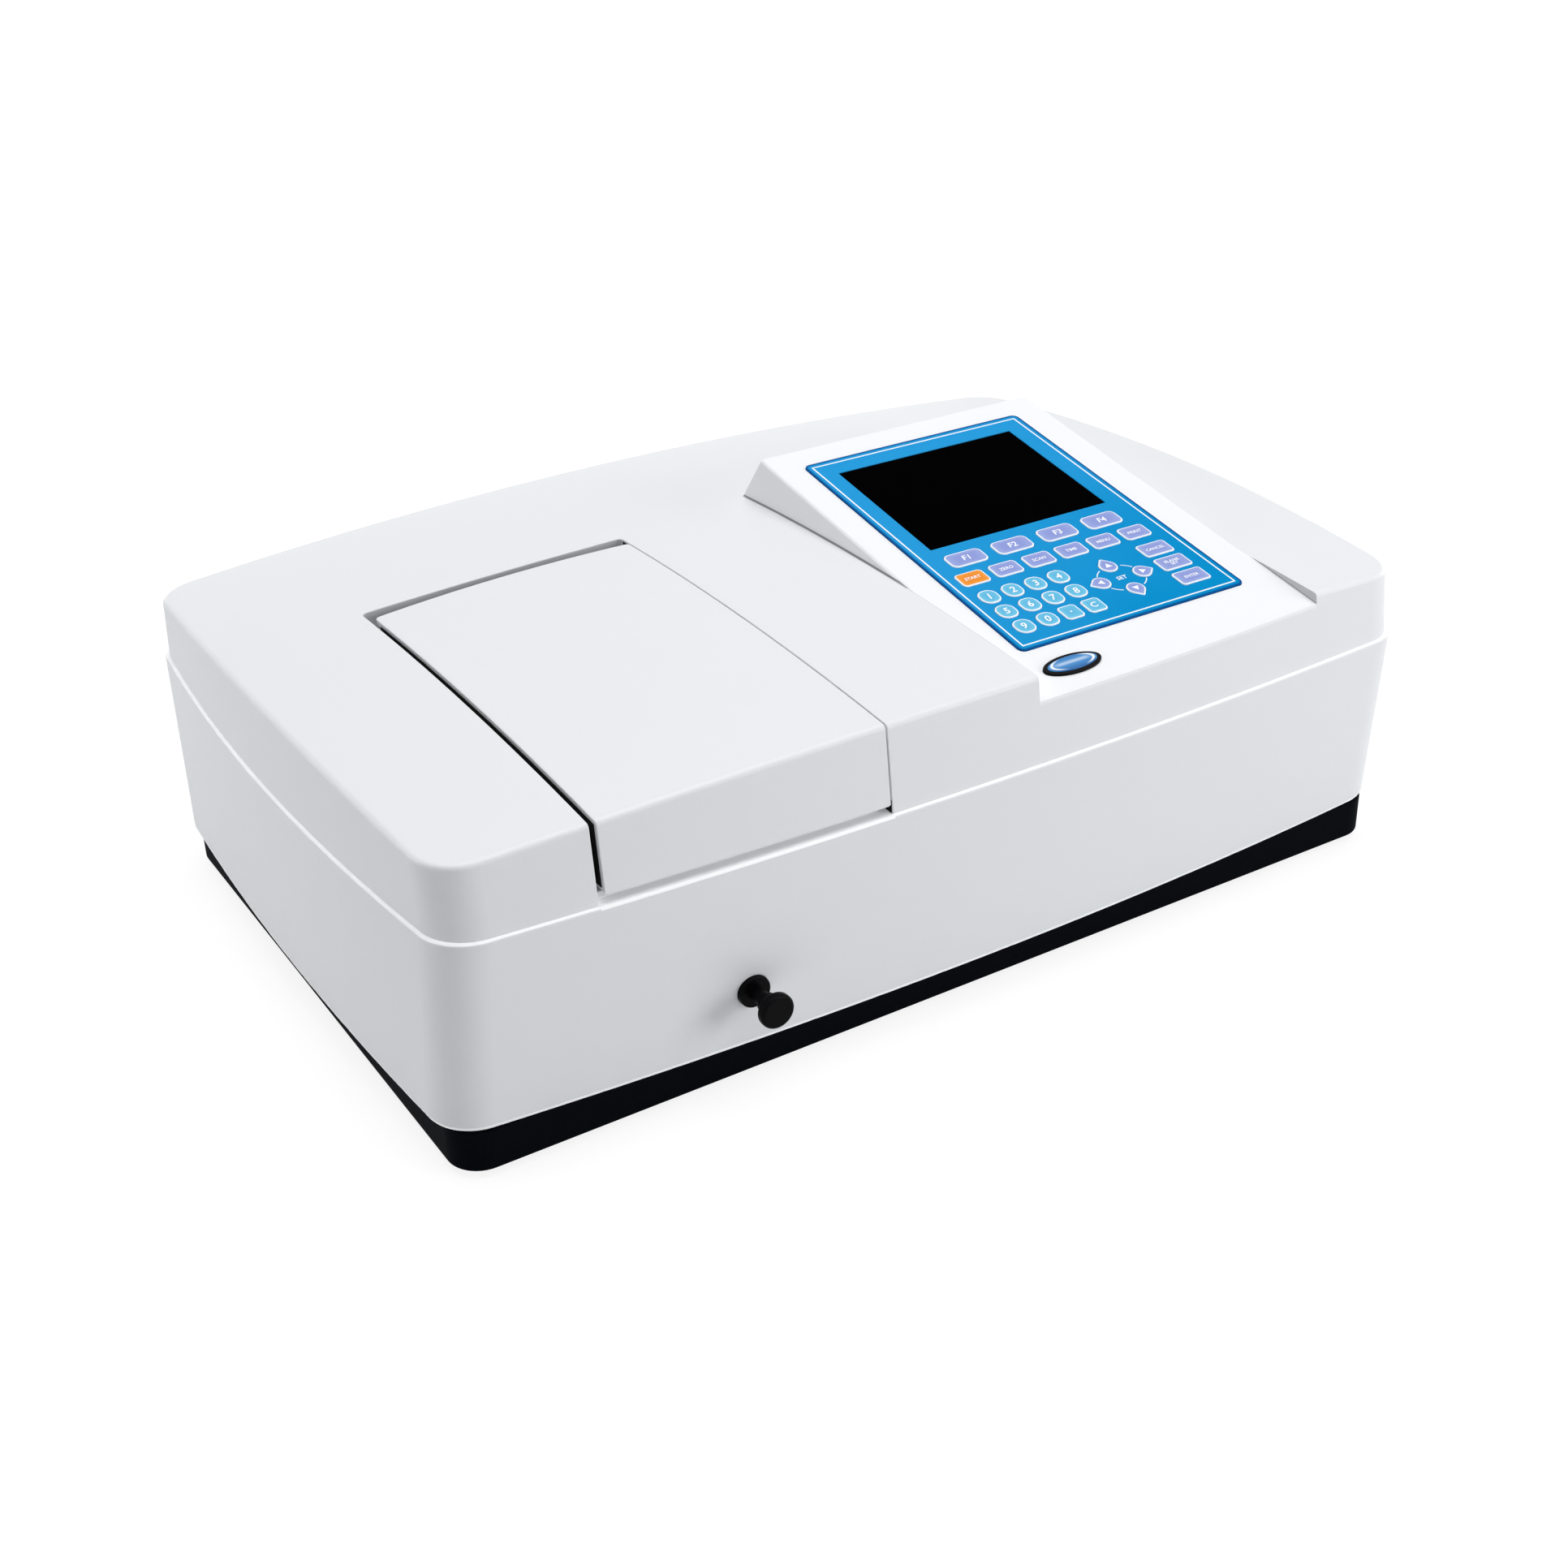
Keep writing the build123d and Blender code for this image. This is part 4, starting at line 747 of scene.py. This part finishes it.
cell_pitch = 18.0
number_size = 3.2
number_place = (-154.2, shift - 48.0, 98.02)
for i in range(4):
    def beside_cell(across, along, above, row=i):
        """Points on the carriage's top, to the left of a cell."""
        spot = [number_place[0] + across, number_place[1] + row * cell_pitch + along, number_place[2] + above]
        return np.stack(spot, axis=-1) * mm

    printed_sign(f"cell_number_{i + 1}", str(i + 1), number_size, beside_cell, "carriage", lean=0)

# Light seal: black foam tape on the left side of the lid, a little under its edge. Its path follows
# the dome and runs down the front, a given depth inside the cover's outline at that side.
seal_x = -218.45
seal_push = -0.45
seal_depths = (2.5, 13.0)
seal_back = 56.0
seal_foot = 145.0
seal_steps = (24, 6, 6)
crown_round = 3.0
crown_level = 178.0


def dome_level(x, y):
    """Level of the domed top, in millimetres, from the arcs that over_dome has."""
    across = dome_radii[1] - dome_radii[0] + (dome_radii[0]**2 - x**2) ** 0.5
    return dome_crown - dome_radii[1] + (across**2 - (y - dome_middle) ** 2) ** 0.5


def face_distance(x, z, low, high):
    """How far the middle of the case's depth is from a bowed face that runs between two outlines."""
    part = (z - low[0]) / (high[0] - low[0])
    level, width, depth, side_bow, face_bow = [a + (b - a) * part for a, b in zip(low, high)]
    return depth / 2 - face_bow * (x / (width / 2 - side_bow)) ** 2


# Outlines of the case: level, width, depth, bow of the sides, bow of the front and the back
hem_outline = (26.6, 620.0, 410.2, 6.8, 14.7)
rim_outline = (rim_level, 623.0, 423.4, 12.1, 11.2)
cover_outline = (rim_level, 619.0, 419.4, 12.1, 11.2)
crown_outline = (182.0, 611.0, 409.4, 7.7, 11.1)


def seal_path(depth):
    """Y and Z along the lid's left side, at a depth inside its outline: the top, a round, the front."""
    def front(level):
        return shift - face_distance(seal_x, level, cover_outline, crown_outline)

    reach = max(depth, crown_round)
    corner_z = dome_level(seal_x, front(crown_level) + reach) - reach
    corner_y = front(corner_z) + reach
    top_y = np.linspace(seal_back, corner_y, seal_steps[0])
    top = np.stack([top_y, dome_level(seal_x, top_y) - depth], axis=-1)
    bend = np.linspace(0, math.pi / 2, seal_steps[1])[1:-1]
    arc = np.stack([-np.sin(bend), np.cos(bend)], axis=-1) * (reach - depth) + (corner_y, corner_z)
    down_z = np.linspace(corner_z, seal_foot, seal_steps[2])
    down = np.stack([front(down_z) + depth, down_z], axis=-1)
    return np.concatenate([top, arc, down])


def slab(name, grid, push, material, body):
    """Closed thin solid between a grid of points and the same grid pushed aside, in millimetres."""
    grid = np.asarray(grid)
    rows, columns = grid.shape[:2]
    count = rows * columns
    index = np.arange(count).reshape(rows, columns)
    corners = [index[:-1, :-1], index[:-1, 1:], index[1:, 1:], index[1:, :-1]]
    quads = np.stack(corners, axis=-1).reshape(-1, 4)
    loop = np.concatenate([index[0, :-1], index[:-1, -1], index[-1, :0:-1], index[:0:-1, 0]])
    after = np.roll(loop, -1)
    walls = np.stack([loop, after, after + count, loop + count], axis=-1)
    points = np.stack([grid, grid + np.array(push)]) * mm
    faces = np.concatenate([quads, quads[:, ::-1] + count, walls]).tolist()
    return new_piece(name, points, faces, material, body, False)


foam, wire = new_material("black_foam_tape")
at, _ = object_place(wire)
surface(wire, {
    "Base Color": colour_mix(noise(at, 900.0), (0.003, 0.003, 0.003, 1), (0.009, 0.009, 0.009, 1)),
    "Roughness": 0.88 + noise(at, 700.0) * 0.08,
    "Normal": grain(at, 1600.0, 0.4, 0.08 * mm),
    "Specular IOR Level": 0.1,
})
edges = np.stack([seal_path(depth) for depth in seal_depths], axis=1)
tape = np.concatenate([np.full(edges.shape[:2] + (1,), seal_x), edges], axis=-1)
slab("lid_seal_tape", tape, (seal_push, 0, 0), foam, "lid")

# Shade pads: two thin black squares of the same foam, stuck to the right wall of the lid's opening
# at its foot and at its back, where they stand in for the shade in the gaps there.
pad_push = -0.25
shade_pads = {"front_gap_shade_pad": ((-208.0, -203.0), (137.8, 144.5)), "rear_gap_shade_pad": ((56.5, 63.5), (183.0, 190.9))}
# Black squares put where the gaps beside the lid are in shade.
for name, (span_y, span_z) in shade_pads.items():
    flat_y, flat_z = np.meshgrid(span_y, span_z)
    square = np.stack([np.full((2, 2), opening_right / mm), flat_y + shift, flat_z], axis=-1)
    slab(name, square, (pad_push, 0, 0), foam, "case")

# Rails and hinge pin: ground steel bar. The carriage slides on the two rails, and the lid turns on
# the pin.

def plain_metal(name, colour, roughness, scale):
    """Bare metal with a fine random tone."""
    made, wire = new_material(name)
    at, _ = object_place(wire)
    dull = [c * 0.86 for c in colour] + [1]
    surface(wire, {
        "Base Color": colour_mix(noise(at, scale), dull, [*colour, 1]),
        "Roughness": roughness + noise(at, scale * 1.7) * 0.12,
        "Metallic": 1.0,
        "Normal": grain(at, scale * 2, 0.10, 0.03 * mm),
    })
    return made


ground_steel = plain_metal("ground_steel", (0.62, 0.63, 0.64), 0.22, 900.0)
dress(ground_steel, "guide_rails", "lid_hinge_pin")

# Optics and electrics inside: a machined deck with cast boxes on it, a lamp house and a power supply
# of zinc-plated sheet, and two circuit boards under green resist.
cast_metal = plain_metal("cast_aluminium", (0.55, 0.56, 0.57), 0.45, 500.0)
dress(cast_metal, "optical_deck", "monochromator_box", "monochromator_cover", "grating_turret")
zinc_plate = plain_metal("zinc_plate", (0.60, 0.61, 0.61), 0.35, 160.0)
dress(zinc_plate, "lamp_house", "power_supply")

solder_resist, wire = new_material("green_solder_resist")
at, _ = object_place(wire)
surface(wire, {
    "Base Color": colour_mix(noise(at, 350.0), (0.010, 0.110, 0.040, 1), (0.016, 0.160, 0.060, 1)),
    "Roughness": 0.35 + noise(at, 500.0) * 0.1,
})
dress(solder_resist, "main_board", "keypad_board")

# Rear panel: steel plate under grey satin paint, screwed to the rear frame of the case. It holds the
# fan, the mains inlet and the data ports.
panel_paint, wire = new_material("grey_satin_paint")
at, _ = object_place(wire)
surface(wire, {
    "Base Color": colour_mix(noise(at, 90.0), (0.400, 0.410, 0.430, 1), (0.440, 0.450, 0.470, 1)),
    "Roughness": 0.42 + noise(at, 600.0) * 0.1,
    "Normal": grain(at, 1500.0, 0.15, 0.05 * mm),
})
dress(panel_paint, "rear_panel")

# Mains inlet: black moulding in the rear panel, with tinned blades in its socket. Its rocker turns
# about a level axis, and has a line on one half and a ring on the other.
rear_face = shift + 188.0
socket_middle = (71.3 * mm, 70.0 * mm)
socket_room = (11.8 * mm, 7.8 * mm)
socket_floor = rear_face * mm - 15.3 * mm


def inside_box(x, z, middle, room):
    """1 where X and Z are both nearer to a middle than a room, and 0 outside."""
    return (1 - abs(x - middle[0]).above(room[0])) * (1 - abs(z - middle[1]).above(room[1]))


inlet_black, wire = new_material("black_inlet_moulding")
at, (x, y, z) = object_place(wire)
on_blade = inside_box(x, z, socket_middle, socket_room) * y.above(socket_floor)
plastic = colour_mix(noise(at, 400.0), (0.012, 0.012, 0.013, 1), (0.024, 0.024, 0.025, 1))
surface(wire, {
    "Base Color": colour_mix(on_blade, plastic, (0.70, 0.68, 0.62, 1)),
    "Roughness": 0.45 + noise(at, 300.0) * 0.12 - on_blade * 0.2,
    "Metallic": on_blade,
    "Normal": grain(at, 1300.0, 0.18, 0.06 * mm),
})
dress(inlet_black, "power_inlet")

rocker_middle = (102.2, rear_face + 1.0, 70.0)
rocker_turn = math.radians(9)
rocker_slope = math.atan2(2.2, 9.5)
rocker_face = 4.12
rocker_half = 4.75
rocker_sign = 4.6
for name, words, side in (("rocker_line", "I", 1), ("rocker_ring", "O", -1)):
    def on_rocker(across, along, above, side=side):
        """Points on one half of the rocker's face, where depth and level turn with the rocker."""
        lean = side * rocker_slope
        depth = rocker_face + along * math.sin(lean) + above * math.cos(lean)
        level = side * rocker_half + along * math.cos(lean) - above * math.sin(lean)
        turned_depth = depth * math.cos(rocker_turn) - level * math.sin(rocker_turn)
        turned_level = depth * math.sin(rocker_turn) + level * math.cos(rocker_turn)
        spot = [rocker_middle[0] - across, rocker_middle[1] + turned_depth, rocker_middle[2] + turned_level]
        return np.stack(spot, axis=-1) * mm

    printed_sign(name, words, rocker_sign, on_rocker, "rocker", lean=0)

# Data ports: a square port and a serial port through the rear panel, with nickel-plated shells round
# black insulators.
square_port = (138 * mm, 70 * mm)
square_room = (4.5 * mm, 4.0 * mm)
serial_port = (84 * mm, 102 * mm)
serial_room = (7.2 * mm, 3.5 * mm)
port_metal, wire = new_material("nickel_shells")
at, (x, y, z) = object_place(wire)
in_serial = inside_box(x, z, serial_port, serial_room) * y.above(rear_face * mm)
insulator = inside_box(x, z, square_port, square_room).most(in_serial)
surface(wire, {
    "Base Color": colour_mix(insulator, (0.62, 0.61, 0.58, 1), (0.012, 0.012, 0.014, 1)),
    "Roughness": 0.24 + noise(at, 800.0) * 0.12,
    "Metallic": 1 - insulator,
})
dress(port_metal, "data_ports")

# Fasteners: pan-head screws with cross recesses in the rear panel, the fan, the tray and the tub's
# flange, and hexagonal posts at the serial port. Each is turned: radii by direction, and a height.
turn_steps = 32
spokes = (np.arange(turn_steps) + 0.5) * 2 * math.pi / turn_steps


def turned(name, rows, place, facing, material, body):
    """Closed piece of rows round an axis, in millimetres."""
    axis = Vector(facing)
    side = axis.orthogonal().normalized()
    out = np.cos(spokes)[:, None] * np.array(side) + np.sin(spokes)[:, None] * np.array(axis.cross(side))
    radii = np.array([np.broadcast_to(radius, turn_steps) for radius, _ in rows])
    heights = np.array([height for _, height in rows])
    rings = out * radii[..., None] + heights[:, None, None] * np.array(axis)
    poles = heights[[0, -1], None] * np.array(axis)
    points = np.concatenate([rings.reshape(-1, 3), poles]) + np.array(place)
    total = len(rows) * turn_steps
    ring = np.arange(turn_steps)
    after = (ring + 1) % turn_steps
    last = total - turn_steps
    faces = tube_faces(len(rows), turn_steps)
    faces += np.stack([ring, after, np.full(turn_steps, total)], axis=-1).tolist()
    faces += np.stack([last + ring, last + after, np.full(turn_steps, total + 1)], axis=-1).tolist()
    new_piece(name, points * mm, faces, material, body, False)


def cross(arm, width):
    """Radii by direction of a cross."""
    along_x, along_y = abs(np.cos(spokes)), abs(np.sin(spokes))
    flat = np.minimum(arm / along_x, width / along_y)
    tall = np.minimum(width / along_x, arm / along_y)
    return np.maximum(flat, tall)


def screw(name, radius, place, facing):
    """Pan-head screw whose head stands on a face."""
    slot = cross(radius * 0.52, radius * 0.14)
    head = [(1, -0.1), (1, 0.2), (0.93, 0.42), (0.76, 0.60), (0.62, 0.65)]
    rows = [(part * radius, level * radius) for part, level in head]
    rows += [(slot, radius * 0.66), (slot * 0.8, radius * 0.25)]
    turned(name, rows, place, facing, ground_steel, "case")


backward, downward, upward = (0, 1, 0), (0, 0, -1), (0, 0, 1)
tray_posts = [(-268, -156), (-268, 152), (228, 152), (108, -156), (228, 6), (148, -160), (272, -160),
              (148, -38), (272, -38)]
tray_under = 4.0
screws = {
    "panel_screw": (2.6, backward, [(x, rear_face, z) for x in (48.5, 150.5) for z in (54.5, 109.5)]),
    "fan_screw": (1.9, backward, [(x, rear_face, z) for z in (56, 108) for x in (170, 222)]),
    "tray_screw": (2.9, downward, [(x, y + shift, tray_under) for x, y in tray_posts]),
    "tub_screw": (2.4, upward, [(x, y + shift, rim_level) for x in (-218.0, -65.8) for y in (-150, -60, 30)]),
}
for kind, (radius, facing, places) in screws.items():
    for i, place in enumerate(places):
        screw(f"{kind}_{i + 1}", radius, place, facing)

post_size = 2.7
post_reach = 12.5
hexagon = post_size / np.cos((spokes + math.pi / 6) % (math.pi / 3) - math.pi / 6)
post_rows = [(hexagon, -0.3), (hexagon, 4.6), (hexagon * 0.9, 5.0), (1.3, 5.0), (1.2, 0.6)]
for i, side in enumerate((-1, 1)):
    place = (serial_port[0] / mm + side * post_reach, rear_face, serial_port[1] / mm)
    turned(f"serial_post_{i + 1}", post_rows, place, backward, ground_steel, "case")

# Rating plate: bare satin foil, stuck on the back of the case and bent with it. Its rows and columns
# follow the shell's bow and draft.
plate_columns = np.linspace(-176, -96, 9)
plate_rows = np.linspace(66, 108, 4)
plate_sink = 0.15
plate_thickness = 0.35
foil = plain_metal("satin_foil", (0.70, 0.71, 0.72), 0.32, 700.0)
plate_x, plate_z = np.meshgrid(plate_columns, plate_rows)
plate_y = shift + face_distance(plate_x, plate_z, hem_outline, rim_outline) - plate_sink
slab("rating_plate", np.stack([plate_x, plate_y, plate_z], axis=-1), (0, plate_thickness, 0), foil, "case")
